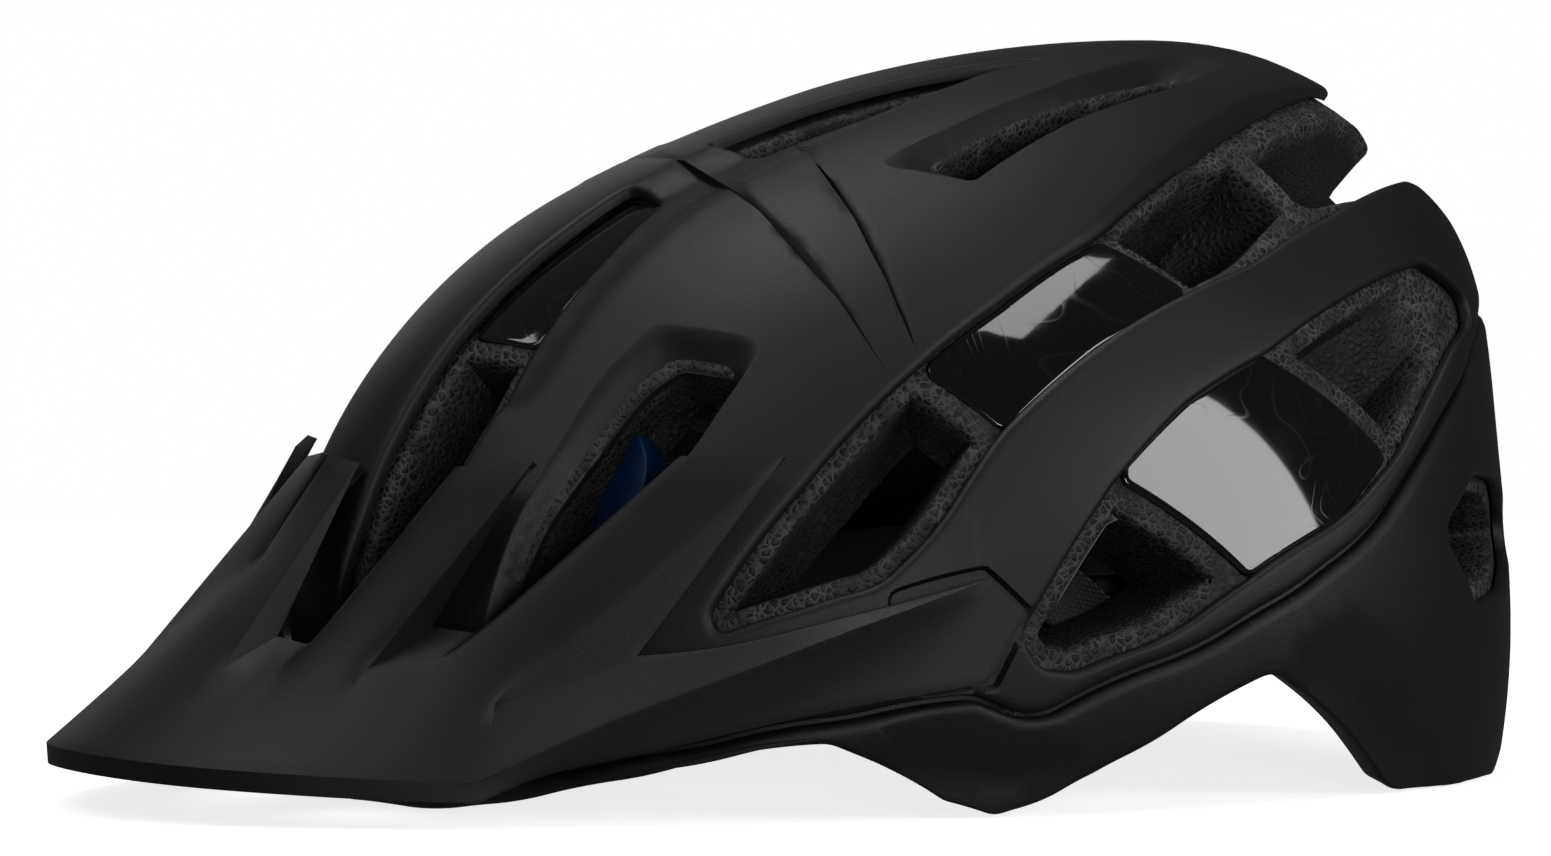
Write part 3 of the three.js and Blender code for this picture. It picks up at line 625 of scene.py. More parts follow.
def liner(material):
    """Bead foam: an outer face with its vents and scoops, the walls of the vents, and the cavity."""
    outer, cavity = Sheet(OUTER), Sheet(INNER)
    base = FOAM_DEPTH
    rim = whole(RIM, step=1.6)
    border = outer.rings(rim, [(1.5, base - 4.0), (1.6, base - 0.3), (2.2, base)])
    edge = cavity.rings(raised(rim), [(0.6, 1.2), (1.0, 0.4), (2.0, 0.0)])
    lip_rows = [(0.0, base - 3.0), (0.15, base - 1.0), (0.6, base - 0.3), (1.5, base)]
    mouth_rows = [(0.0, 1.6), (0.5, 0.4), (1.6, 0.0)]
    holes, mouths, bridges = [], [], []

    def vent(points, s, lip, taper=2.0):
        loop = offset(sided(points, s, step=1.5), lip)
        holes.append(outer.rings(loop, lip_rows, inward=False))
        top = outer.total - len(lip_rows) * len(loop)
        deep = outer.add(offset(loop, 0.5 * taper), base - 12.0)
        outer.strip(deep, np.arange(top, top + len(loop)))
        mouths.append(cavity.rings(offset(loop, taper), mouth_rows, inward=False))
        bridges.append((deep, cavity.total - len(mouth_rows) * len(loop)))

    for s in (1, -1):
        vent(FRONT_VENT, s, 3.0)
        vent(TOP_VENT, s, 2.2, 0.6)
        vent(HOOD_VENT, s, -0.4)
        vent(SCOOP_VENT, s, 0.8, 0.8)
        vent(SIDE_VENT, s, 3.6)
        vent(TAIL_VENT, s, 2.4)
        vent(WINDOW_VENT, s, 4.4)
        vent(REAR_VENT, s, 3.5)
        scoop = sided(WINDOW_SCOOP, s, step=1.5)
        lip = offset(scoop, 3.2)
        line = to_chart([(s * 92.5, 43, 96), (s * 94.5, 74, 73)])

        def scoop_depth(chart, line=line, s=s):
            d = np.abs(near_line(chart, line))
            return base - 15.0 * ease(1 - d / 46.0) ** 0.8

        holes.append(outer.rings(lip, [(0.0, base - 0.6), (0.8, base)], inward=False))

        def part_way(chart, full=scoop_depth):
            return np.minimum(full(chart) * 0.4 + base * 0.6, base - 0.8)

        floor = outer.rings(lip, [(0.0, base - 0.6), (0.4, part_way), (2.2, scoop_depth)])
        outer.fill(floor, [], 2.6, scoop_depth)
    gap = whole_gap()
    gap_floor = -19.0
    holes.append(outer.rings(gap, [(0.0, base - 1.2), (0.5, base - 0.3), (1.6, base)], inward=False))
    bottom = outer.rings(gap, [(0.0, base - 1.2), (0.6, base - 6.0), (2.0, gap_floor + 3), (3.4, gap_floor)])
    necks = []
    for s in (1, -1):
        loop = sided(NECK_VENT, s, step=1.5)
        steps = [(0.0, gap_floor - 3.0), (0.4, gap_floor - 0.5), (1.3, gap_floor)]
        necks.append(outer.rings(loop, steps, inward=False))
        top = outer.total - len(steps) * len(loop)
        mouths.append(cavity.rings(loop, mouth_rows, inward=False))
        bridges.append((np.arange(top, top + len(loop)), cavity.total - len(mouth_rows) * len(loop)))
    outer.fill(bottom, necks, 3.0, gap_floor)
    outer.fill(border, holes, 4.0, base)
    cavity.fill(edge, mouths, 4.5, 0.0)

    a, b = outer.points(), cavity.points()
    points = np.vstack([a, b])
    shift = len(a)
    faces = list(outer.faces) + [tuple(i + shift for i in f) for f in cavity.faces]
    for first, second in bridges:
        start = second + shift
        faces += [(first[i], first[j], start + j, start + i) for i, j in around(len(first))]
    faces += [(i, j, shift + j, shift + i) for i, j in around(len(rim))]
    obj = make("foam_liner", to_floor(points), faces, material, nodes=("eps_liner",))
    # depth of each foam point under the outer skin, stored for the foam material to paint shade deeper in the
    # vents
    away = vertices(obj) * 1000 - [0, SHIFT_Y, 0] - CENTRE
    distance = np.linalg.norm(away, axis=1)
    dirs = away / distance[:, None]
    inside = reach(dirs, OUTER) + swell(dirs) - distance
    layer = obj.data.attributes.new("inside", "FLOAT", "POINT")
    layer.data.foreach_set("value", inside.astype(np.float32))
    sharpen(obj, 45)
    return obj


def label(material):
    """A blank care label on the front wall of the left window vent."""
    rows, columns = [], 12
    for inset, depth in ((4.75, -4.6), (5.2, -9.0), (5.7, -14.0)):
        loop = offset(sided(WINDOW_VENT, 1, step=1.2), inset)
        p = lift(loop, depth)
        edge = p[(p[:, 1] < 2) & (p[:, 2] > 44) & (p[:, 2] < 66)]
        edge = edge[np.argsort(edge[:, 2])]
        run = np.linspace(0, len(edge) - 1, columns)
        low = run.astype(int)
        high = np.minimum(low + 1, len(edge) - 1)
        rows.append(edge[low] + (edge[high] - edge[low]) * (run % 1)[:, None])
    starts = [r * columns + k for r in (0, 1) for k in range(columns - 1)]
    faces = [(i, i + 1, i + columns + 1, i + columns) for i in starts]
    obj = make("care_label", np.vstack(rows), faces, material)
    wall = obj.modifiers.new("wall", "SOLIDIFY")
    wall.thickness = 0.00025
    wall.offset = 0
    apply_all(obj)
    return obj


def whole_gap():
    """The gap between the crown and the tail: both halves and both edges as one loop."""
    top, low = corners(TAIL_GAP, 30.0), corners(TAIL_GAP_LOW, 30.0)
    one = top[-2::-1] + low[::-1]
    other = [(-q[0], *q[1:]) for q in one[-2::-1]]
    return offset(ccw(rounded([top[-1]] + one + other, 30.0, 1.5)), 1.0)


def panel(name, points, side, material):
    sheet = Sheet(OUTER)
    loop = sided(corners(points, 3.0), side, step=1.2)
    rows = [(0.0, -1.4), (0.1, -0.45), (0.45, -0.1), (0.8, 0.0), (1.7, 0.0), (2.7, 0.0)]
    top = sheet.rings(loop, [(inset, PANEL_DEPTH + depth) for inset, depth in rows])
    sheet.fill(top, [], 2.5, PANEL_DEPTH)
    end = "left" if side > 0 else "right"
    return make(f"{name}_gloss_{end}", sheet.points(), sheet.faces, material, nodes=(f"{name}_{end}",))


# ---------------------------------------------------------------- visor
CAGE = {
    # brim: upper line of its rolled lip, then the line where the fingers start
    "tip": (0, -200.5, 13.5), "e1": (18, -197, 13), "e2": (36, -186, 12), "e3": (52, -168, 11),
    "e4": (63, -150, 10), "corner": (70, -135.5, 9.5),
    "b0": (0, -178, 32), "b1": (22, -171.5, 31), "r1": (28, -169, 28), "b2": (33, -161, 31.5),
    "b3": (45.5, -149, 31.5), "r3": (52, -143.5, 31.5), "b4": (57, -137.5, 33), "b5": (65.5, -128.5, 25.5),
    # fingers: lower corners of the openings, then the tips
    "slit": (0, -153, 53), "aLow": (21.5, -159, 37), "aIn": (2, -138.5, 74), "aOut": (14, -137, 72.5),
    "bLow": (28.5, -154.5, 35.5), "bIn": (43, -127.5, 73), "bOut": (59.5, -117.5, 74.5),
    "bFoot": (47.5, -135, 40),
    "cLow": (56, -128.5, 39), "cIn": (77, -92, 76), "cOut": (90, -74.5, 76), "cFoot": (78, -102.5, 35),
    # arm: bright upper edge, crease, lower edge, end
    "m2": (88.5, -87.5, 36.5), "m3": (97.5, -66.5, 42.5), "m4": (101, -53.5, 45.5),
    "armTop": (106, -35, 50.5),
    "k1": (80.5, -112.5, 21.5), "k2": (90.5, -90.5, 30), "k3": (100.5, -68, 39.5), "k4": (104, -51.5, 45),
    "n1": (75, -122, 11.5), "n2": (81, -105.5, 14.5), "n3": (88.5, -89.5, 18.5), "n4": (97.5, -67, 24),
    "n5": (102.5, -50, 26.5), "n6": (106.5, -35.5, 29), "armEnd": (108, -27.5, 43),
}
LIP = ["tip", "e1", "e2", "e3", "e4", "corner"]
PLATES = [
    ("tip", "e1", "b1", "b0"), ("e1", "e2", "r1", "b1"), ("e2", "e3", "b3", "b2"), ("e2", "b2", "r1"),
    ("e3", "e4", "r3", "b3"), ("e4", "corner", "b5", "b4"), ("e4", "b4", "r3"),
    ("b0", "b1", "slit"), ("slit", "b1", "aOut", "aIn"), ("b1", "aLow", "aOut"), ("b1", "r1", "aLow"),
    ("r1", "b2", "bLow", "aLow"), ("b2", "b3", "bOut", "bIn"), ("b2", "bIn", "bLow"), ("b3", "bFoot", "bOut"),
    ("b3", "r3", "bFoot"), ("r3", "b4", "cLow", "bFoot"), ("b4", "b5", "cOut", "cIn"), ("b4", "cIn", "cLow"),
    ("b5", "cFoot", "cOut"), ("corner", "k1", "cFoot", "b5"), ("k1", "k2", "m2", "cFoot"),
    ("k2", "k3", "m3", "m2"), ("k3", "k4", "m4", "m3"), ("k4", "armTop", "m4"),
    ("cornerLow", "n1", "k1", "corner"), ("n1", "n2", "k2", "k1"),
    ("n2", "n3", "k3", "k2"), ("n3", "n4", "k4", "k3"), ("n4", "n5", "armTop", "k4"),
    ("n5", "n6", "armEnd", "armTop"),
]
SHARP = [["tip", "e1", "e2", "e3", "e4", "corner", "k1", "k2", "k3", "k4", "armTop"],
         ["b5", "cFoot", "m2", "m3", "m4", "armTop"], ["b1", "aLow"], ["b3", "bFoot"],
         ["b1", "aOut"], ["b3", "bOut"], ["b5", "cOut"], ["corner", "b5"]]
FIXED = ["aIn", "aOut", "bIn", "bOut", "cIn", "cOut", "aLow", "bLow", "bFoot", "cLow", "cFoot", "slit",
         "b1", "b3", "b5", "corner", "cornerLow", "armTop", "armEnd", "n6"]
SOFT = [["b1", "r1", "b2"], ["b3", "r3", "b4"], ["b2", "bLow"], ["b4", "cLow"]]
LIP_DROP = np.array([0.3, 0.4, -4.3])
VISOR_WALL = 2.4


def visor(material):
    points = {name: np.array(p, float) for name, p in CAGE.items()}
    for name in LIP:
        points[name + "Low"] = points[name] + LIP_DROP * (0 if name == "tip" else 1, 1, 1)
    plates = list(PLATES)
    plates += [(a + "Low", b + "Low", b, a) for a, b in zip(LIP, LIP[1:])]
    bm = bmesh.new()
    crease = bm.edges.layers.float.new("crease_edge")
    fixed = bm.verts.layers.float.new("crease_vert")
    verts = {}
    for side in (1, -1):
        for name, p in points.items():
            if side < 0 and p[0] == 0:
                verts[name, side] = verts[name, 1]
            else:
                verts[name, side] = bm.verts.new(place([(side * p[0], p[1], p[2])])[0])
        for plate in plates:
            ring = [verts[name, side] for name in plate]
            bm.faces.new(ring if side > 0 else ring[::-1])
    for chains, amount in ((SHARP, 1.0), (SOFT, 0.45)):
        for chain in chains:
            for a, b in zip(chain, chain[1:]):
                for side in (1, -1):
                    edge = bm.edges.get((verts[a, side], verts[b, side]))
                    if edge:
                        edge[crease] = amount
    for name in FIXED:
        for side in (1, -1):
            verts[name, side][fixed] = 1.0
    mesh = bpy.data.meshes.new("visor_shell")
    bm.to_mesh(mesh)
    bm.free()
    obj = add_object("visor_shell", mesh)
    smooth = obj.modifiers.new("smooth", "SUBSURF")
    smooth.levels = smooth.render_levels = 3
    wall = obj.modifiers.new("wall", "SOLIDIFY")
    wall.thickness = VISOR_WALL / 1000
    wall.offset = -1
    wall.use_even_offset = False
    ease_edges(obj, 0.55, 3, 24)
    shade(obj.data)
    obj.data.materials.append(material)
    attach(obj, "visor")
    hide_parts("visor")
    return obj


def apply_all(obj):
    """Turns a piece's modifiers into its mesh."""
    graph = bpy.context.evaluated_depsgraph_get()
    mesh = bpy.data.meshes.new_from_object(obj.evaluated_get(graph))
    obj.modifiers.clear()
    obj.data = mesh


# ---------------------------------------------------------------- inner parts
def on_wall(directions, depth):
    """Points on the head-side wall of the foam; a negative depth is towards the head."""
    return lift(to_chart(CENTRE + np.asarray(directions)), depth, INNER)


def smooth_path(points, count):
    """Catmull-Rom curve through rows of numbers, at even steps."""
    p = np.array(points, float)
    p = np.vstack([2 * p[0] - p[1], p, 2 * p[-1] - p[-2]])
    t = np.linspace(0, len(p) - 3 - 1e-9, count)
    i, f = t.astype(int), (t % 1)[:, None]
    a, b, c, d = p[i], p[i + 1], p[i + 2], p[i + 3]
    square, cube = 2 * a - 5 * b + 4 * c - d, 3 * b - a - 3 * c + d
    return 0.5 * (2 * b + (c - a) * f + square * f ** 2 + cube * f ** 3)


def pill(width, height, corner, steps=4):
    """Cross-section of a flat strip with round edges, as (across, out) rows."""
    out = []
    for cx, cy, start in ((1, 1, 0), (-1, 1, 90), (-1, -1, 180), (1, -1, 270)):
        for k in range(steps + 1):
            t = math.radians(start + 90 * k / steps)
            out.append((cx * (width / 2 - corner) + corner * math.cos(t),
                        cy * (height / 2 - corner) + corner * math.sin(t)))
    return np.array(out)


def sweep(name, centres, across, section, material, body="helmet", nodes=(), widths=None):
    """A strip along centres; UV runs in millimetres along it and across it."""
    along = unit(np.gradient(centres, axis=0))
    across = unit(across - along * (across * along).sum(1, keepdims=True))
    out = np.cross(along, across)
    widths = np.ones(len(centres)) if widths is None else widths
    n, m = len(centres), len(section)
    points = [centres[i] + across[i] * u * widths[i] + out[i] * v for i in range(n) for u, v in section]
    faces = [(i * m + k, i * m + (k + 1) % m, (i + 1) * m + (k + 1) % m, (i + 1) * m + k)
             for i in range(n - 1) for k in range(m)]
    faces += [tuple(range(m))[::-1], tuple(range((n - 1) * m, n * m))]
    obj = make(name, points, faces, material, body, nodes, merge=0)
    run = np.concatenate([[0], np.cumsum(np.linalg.norm(np.diff(centres, axis=0), axis=1))])
    uv = obj.data.uv_layers.new(name="strip")
    for poly in obj.data.polygons:
        for loop, vert in zip(poly.loop_indices, poly.vertices):
            uv.data[loop].uv = (run[vert // m], section[vert % m][0])
    sharpen(obj, 50)
    return obj


def on_side(points, side):
    return np.asarray(points, float) * [side, 1, 1]


def strap(name, path, width, depth, thick, side, material, nodes):
    """Webbing that lies along the foam wall, with a doubled end."""
    angles = smooth_path(path, 40)
    dirs = np.array([aim(a, e) for a, e in angles])
    centres = on_side(on_wall(dirs, depth), side)
    wall = on_side(dirs, side)
    across = np.cross(np.gradient(centres, axis=0), wall)
    end = ease((np.arange(40) - 30) / 3)
    wave = 0.25 * np.sin(np.arange(40) * 0.55)
    centres = centres - wall * (0.35 * end + wave)[:, None]
    return sweep(name, centres, across, pill(width, thick, thick * 0.48), material, "helmet", nodes)


def solid(name, parts, material, body="helmet", nodes=(), bevel=0.4, segments=3, angle=28):
    """Closed pieces with eased edges, each (loop, from, to, origin, u, v, n): an outline pushed along n."""
    points, faces = [], []
    for loop, low, high, origin, u, v, n in parts:
        loop = np.asarray(loop, float)
        k, base = len(loop), len(points)
        for h in (low, high):
            points += [np.asarray(origin) + u * a + v * b + n * h for a, b in loop]
        faces += [(i, j, k + j, k + i) for i, j in around(k, base)]
        faces += [tuple(range(base + k - 1, base - 1, -1)), tuple(range(base + k, base + 2 * k))]
    obj = make(name, points, faces, material, body, nodes, merge=0)
    ease_edges(obj, bevel, segments, angle)
    sharpen(obj, 38)
    return obj


def plate(x0, x1, z0, z1, y0, y1, corner=2.0):
    """A rounded plate that faces the rear."""
    loop = pill(x1 - x0, z1 - z0, corner, 5) + [(x0 + x1) / 2, (z0 + z1) / 2]
    return (loop, y0, y1, (0, 0, 0), X, Z, Y)


def lathe(name, profile, origin, axis, material, body="helmet", nodes=(), count=48, ripple=(0, 0.0, 99.0)):
    """Turned shape from (radius, height) rows; ripple = (lobes, depth, least radius) scallops its rim."""
    axis = unit(np.asarray(axis, float))
    side = unit(np.cross(axis, X if abs(axis[0]) < 0.8 else Y))
    other = np.cross(axis, side)
    lobes, deep, least = ripple
    points, faces = [], []
    for r, h in profile:
        for k in range(count):
            t = 2 * math.pi * k / count
            cut = deep * max(0.0, math.cos(lobes * t)) ** 2 if r > least else 0.0
            out = side * math.cos(t) + other * math.sin(t)
            points.append(np.asarray(origin) + axis * h + out * (r - cut))
    last = (len(profile) - 1) * count
    for start in range(0, last, count):
        faces += [(a, b, b + count, a + count) for a, b in around(count, start)]
    faces += [tuple(range(count))[::-1], tuple(range(last, last + count))]
    obj = make(name, points, faces, material, body, nodes, merge=0)
    sharpen(obj, 34)
    return obj


TURBINES = [(25, 18), (52, 44), (112, 40), (72, 60)]      # azimuth and elevation of each axis
VANES = 9
VANE_STEPS = 8


def turbine(number, azimuth, elevation, side, material):
    """A soft disc on a short stalk, with curved vanes between its hub and its rim."""
    tag = "turbine_%d_%s" % (number, "left" if side > 0 else "right")
    axis = on_side(aim(azimuth, elevation), side)
    seat = CENTRE + axis * reach(axis[None], INNER)[0]
    ring = [(3.2, 5.6), (12.2, 5.6), (12.6, 5.2), (12.6, -1.4), (12.2, -1.9), (11.0, -1.9), (10.6, -1.4),
            (10.4, 2.6), (4.4, 2.6), (4.0, -0.6), (3.4, -1.2), (1.2, -1.2), (0.8, -0.7), (0.8, 0.4)]
    body = lathe(tag, ring, seat, axis, material, "helmet", (), 56)
    out = unit(np.cross(axis, Z))
    up = np.cross(axis, out)
    points, faces = [], []
    for vane in range(VANES):
        base = len(points)
        for k in range(VANE_STEPS + 1):
            run = k / VANE_STEPS
            r = 3.9 + 6.9 * run
            turn = 2 * math.pi * vane / VANES + 0.085 * (r - 3.9) * side
            u = out * math.cos(turn) + up * math.sin(turn)
            v = np.cross(axis, u)
            half = 0.55 + 0.25 * run
            top = -0.7 - 0.5 * run
            section = [(-half, 2.9), (-half, top), (-half * 0.4, top - 0.3), (half * 0.4, top - 0.3),
                       (half, top), (half, 2.9)]
            points += [seat + u * r + v * w + axis * h for w, h in section]
        last = base + 6 * VANE_STEPS
        for start in range(base, last, 6):
            faces += [(a, b, b + 6, a + 6) for a, b in around(6, start)]
        faces += [tuple(range(base, base + 6))[::-1], tuple(range(last, last + 6))]
    vanes = make(tag + "_vanes", points, faces, material, merge=0)
    sharpen(vanes, 45)
    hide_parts(tag)
    return body


STUFFING_FRAMES = 20


def stuffed(obj, voxel, cap, wall):
    """Inflates a thin closed shape with the Cloth simulation; wall(points) is 0 where it is held."""
    remesh = obj.modifiers.new("even", "REMESH")
    remesh.mode = "VOXEL"
    remesh.voxel_size = voxel / 1000
    apply_all(obj)
    rest = vertices(obj)
    cloth = obj.modifiers.new("stuffing", "CLOTH")
    cloth.settings.quality = 5
    cloth.settings.mass = 0.2
    cloth.settings.use_pressure = True
    cloth.settings.uniform_pressure_force = 4
    cloth.settings.effector_weights.gravity = 0
    cloth.point_cache.frame_start, cloth.point_cache.frame_end = 1, STUFFING_FRAMES
    for frame_number in range(1, STUFFING_FRAMES + 1):
        bpy.context.scene.frame_set(frame_number)
    apply_all(obj)
    bpy.context.scene.frame_set(1)
    move = vertices(obj) - rest
    size = np.linalg.norm(move, axis=1, keepdims=True)
    move *= np.minimum(1, cap / 1000 / np.maximum(size, 1e-9))
    move *= wall(rest * 1000 - [0, SHIFT_Y, 0])[:, None]
    obj.data.vertices.foreach_set("co", (rest + move).ravel())
    smooth = obj.modifiers.new("smooth", "SUBSURF")
    smooth.levels = smooth.render_levels = 1
    apply_all(obj)
    shade(obj.data)
    return obj


def off_wall(points):
    """0 on the foam wall, 1 from three millimetres off it."""
    away = points - CENTRE
    r = np.linalg.norm(away, axis=1)
    return ease((reach(away / r[:, None], INNER) - r - 0.9) / 2.0)


def wall_pad(name, loop, thick, material, node, channels=()):
    """A pad on the foam wall with a thin welt; channels are the chart lines where it is quilted down."""
    sheet = Sheet(INNER)
    outer = sheet.add(loop, -0.7)
    welt = ((0.0, -1.7), (1.2, -2.1), (3.2, 0.6 - thick))
    rows = [outer] + [sheet.add(offset(loop, a), b) for a, b in welt]
    for a, b in zip(rows, rows[1:]):
        sheet.strip(a, b)

    def depth(chart):
        deep = np.full(len(chart), 0.6 - thick)
        for line in channels:
            near = np.abs(near_line(chart, line))
            deep += (thick - 2.4) * (1 - ease((near - 0.6) / 4.5))
        return deep

    sheet.fill(rows[-1], spacing=2.6, depth=depth)
    sheet.fill(outer, spacing=6.0, depth=-0.7)
    obj = make(name, sheet.points(), sheet.faces, material, "helmet", [node])
    stuffed(obj, 2.4, 1.6, off_wall)
    return obj


def chart_of(pairs):
    return to_chart(np.array([CENTRE + aim(a, e) for a, e in pairs]))


BROW = [(0, -14.5), (-28, -14.5), (-54, -13.5, 4), (-56.5, -2, 5), (-30, 6.5), (0, 7.5), (30, 6.5),
        (56.5, -2, 5), (54, -13.5, 4), (28, -14.5)]
CROWN = [(9, -77, 102, 4), (23, -75, 100, 4), (27, -30, 122), (26, 20, 128), (21, 61, 122, 4),
         (9, 63, 123, 4), (11, 20, 132), (11, -30, 126)]
SIDE = [(66.5, 26.5, 3), (66.5, 35.5, 3), (84, 37.5), (101.5, 33.5, 3), (101.5, 25.5, 3), (84, 24.5)]


def angled(rows, radius=40.0):
    """Outline rows of azimuth, elevation and corner radius, on the foam wall."""
    return [(*on_wall([aim(q[0], q[1])], 0.0)[0], *(q[2:] or (radius,))) for q in rows]


def pads(material):
    loop = ccw(rounded(angled(BROW), 40, 2.0))
    lines = [chart_of([(a, -16), (a, 9)]) for a in (-38, -19, 0, 19, 38)]
    wall_pad("brow_pad_cushion", loop, 5.6, material, "brow_pad", lines)
    quilting = ((-40, 120), (0, 130), (38, 128))
    for s, side in SIDES:
        wall_pad("crown_pad_cushion_" + side, sided(CROWN, s, 40, 2.0), 5.6, material, "crown_pad_" + side,
                 [to_chart(on_side([(5, y, z), (32, y, z)], s)) for y, z in quilting])
        wall_pad("side_pad_cushion_" + side, sided(angled(SIDE), s, 40, 2.0), 5.6, material,
                 "side_pad_" + side, [chart_of([(s * 84, 22), (s * 84, 40)])])
    nape = plate(-21, 21, 32.5, 51.5, 79.4, 81.4, 6)
    obj = solid("nape_pad_cushion", [nape], material, "cradle", ["nape_pad"], 0.5, 2)
    stuffed(obj, 1.8, 1.2, lambda p: ease((81.2 - p[:, 1]) / 1.2))


def teeth(start, end, low, high, pitch=2.147):
    """A toothed line of (x, z) rows from start to end, from low out to high."""
    rows = []
    x = start
    while x + pitch <= end:
        rows += [(x, low), (x + pitch * 0.2, high), (x + pitch * 0.5, high), (x + pitch * 0.7, low)]
        x += pitch
    return rows + [(end, low)]


DIAL_Z = 42.0
BAND_TURN = [(58.5, 62, 41), (52.5, 77, 42), (46, 85.5, 42), (40.5, 89.4, 42), (37.2, 89.6, 42)]


def fit_system(plastic, rubber):
    carriage = [plate(-30.8, 30.8, 28.2, 55.8, 82.0, 86.5, 5),
                plate(-30.8, 30.8, 28.2, 31.6, 86.4, 89.0, 1.4),
                plate(-30.8, 30.8, 52.4, 55.8, 86.4, 89.0, 1.4)]
    for x in (-20, -8, 8, 20):
        carriage.append(plate(x - 0.8, x + 0.8, 34, 50, 81.4, 82.4, 0.7))
    solid("cradle_carriage", carriage, plastic, "cradle", ["carriage"], 0.35)

    turns = np.linspace(0, 2 * math.pi, 40, endpoint=False)
    cover(plastic, np.array([(3.0 * math.cos(t), DIAL_Z + 3.0 * math.sin(t)) for t in turns]))

    comb = teeth(-5.4, 36, 46.9, 46.2)
    left = [(-6, 51.6), (-6, 46.9), *comb, (36.6, 46.9), (37.2, 45.8), (37.2, 34.2), (41, 34.2), (41, 51.6)]
    right = [(6, 32.4), (6, 37.1), *[(-x, 2 * DIAL_Z - z) for x, z in comb], (-36.6, 37.1), (-37.2, 38.2),
             (-37.2, 49.4), (-41, 49.4), (-41, 32.4)]
    for outline, side in ((left, "left"), (right, "right")):
        solid("toothed_rack_" + side, [(outline, 86.95, 88.5, (0, 0, 0), X, Z, Y)], plastic, "rack_" + side,
              ["rack_" + side], 0.15, 2)

    knob = [(2.6, 88.7), (2.6, 91.6), (10.6, 91.7), (11.6, 92.2), (12.0, 93.2), (12.0, 97.0), (11.5, 98.4),
            (10.2, 99.2), (8.6, 99.4), (7.6, 98.9), (6.8, 97.9), (3.0, 97.6), (0.6, 97.6)]
    lathe("size_dial", knob, (0, 0, DIAL_Z), Y, rubber, "dial", ["dial"], 144, (18, 0.9, 10.9))
    gear = []
    for k in range(12):
        for step, r in ((-0.32, 3.5), (-0.14, 4.1), (0.14, 4.1), (0.32, 3.5)):
            t = 2 * math.pi * (k + step) / 12
            gear.append((r * math.cos(t), r * math.sin(t)))
    solid("dial_pinion", [(gear, 86.95, 88.8, (0, 0, DIAL_Z), X, Z, Y)], plastic, "dial", (), 0.12, 2)

    for s, side in SIDES:
        angles = [(57.5, -10), (65, -9.3), (72, -8), (80, -4), (88, 1), (97, 3.6), (105, 5), (115, 6),
                  (125, 6)]
        run = list(on_wall([aim(a, e) for a, e in angles], -10.2)) + BAND_TURN
        centres = on_side(smooth_path(run, 70), s)
        across = np.cross(np.gradient(centres, axis=0), centres - CENTRE)
        step = np.arange(70)
        widths = 1 - 0.35 * ease((5 - step) / 5) - 0.12 * ease((step - 20) / 30) + 0.2 * ease((step - 58) / 6)
        band = sweep("head_band_" + side, centres, across, pill(11.5, 1.5, 0.7), plastic, None,
                     ["band_" + side], widths)
        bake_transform(band)
        axis = on_side(aim(66, -10), s)
        seat = CENTRE + axis * reach(axis[None], INNER)[0]
        stud = [(0.6, -14.4), (2.8, -14.3), (4.2, -13.7), (4.6, -12.8), (4.3, -12.6), (2.5, -12.5),
                (2.5, 7.6), (2.0, 8.0)]
        lathe("anchor_pin_" + side, stud, seat, axis, plastic, "helmet", ["band_anchor_" + side], 32)
        pivot = [(0.6, 103.1), (3.2, 103.1), (3.9, 102.4), (3.9, 94), (3.4, 93.2), (0.6, 93.1)]
        lathe("visor_pivot_" + side, pivot, (0, -38, 40), X * s, plastic, "helmet", ["visor_stud_" + side],
              32)


def cover(material, hole):
    """The plate over the racks, with the dial's round hole."""
    middle = np.array([0, DIAL_Z])
    loop = pill(61.6, 27.6, 5, 5) + middle
    points, faces, starts = [], [], []
    k, m = len(hole), len(loop)
    loops = [(hole, 89.35), (loop, 89.35), (loop, 90.7),
             ((loop - middle) * [0.985, 0.965] + middle, 91.25), (hole, 91.25)]
    for outline, y in loops:
        starts.append(len(points))
        points += [(a, y, b) for a, b in outline]
    for a, b, n in ((1, 2, m), (2, 3, m), (0, 4, k)):
        faces += [(starts[a] + i, starts[a] + j, starts[b] + j, starts[b] + i) for i, j in around(n)]
    for outer, inner in ((1, 0), (3, 4)):
        flat = [Vector(q) for q in loops[outer][0]] + [Vector(q) for q in hole]
        edges = around(m) + around(k, m)
        for tri in geometry.delaunay_2d_cdt(flat, edges, [], 0, 1e-6)[2]:
            centre = sum((flat[i] for i in tri), Vector((0, 0))) / 3
            if (centre - Vector(middle)).length > 2.9:
                faces.append(tuple(starts[outer] + i if i < m else starts[inner] + i - m for i in tri))
    obj = make("cradle_cover", points, faces, material, "cradle", ["carriage_cover"], merge=0)
    sharpen(obj, 30)
    return obj


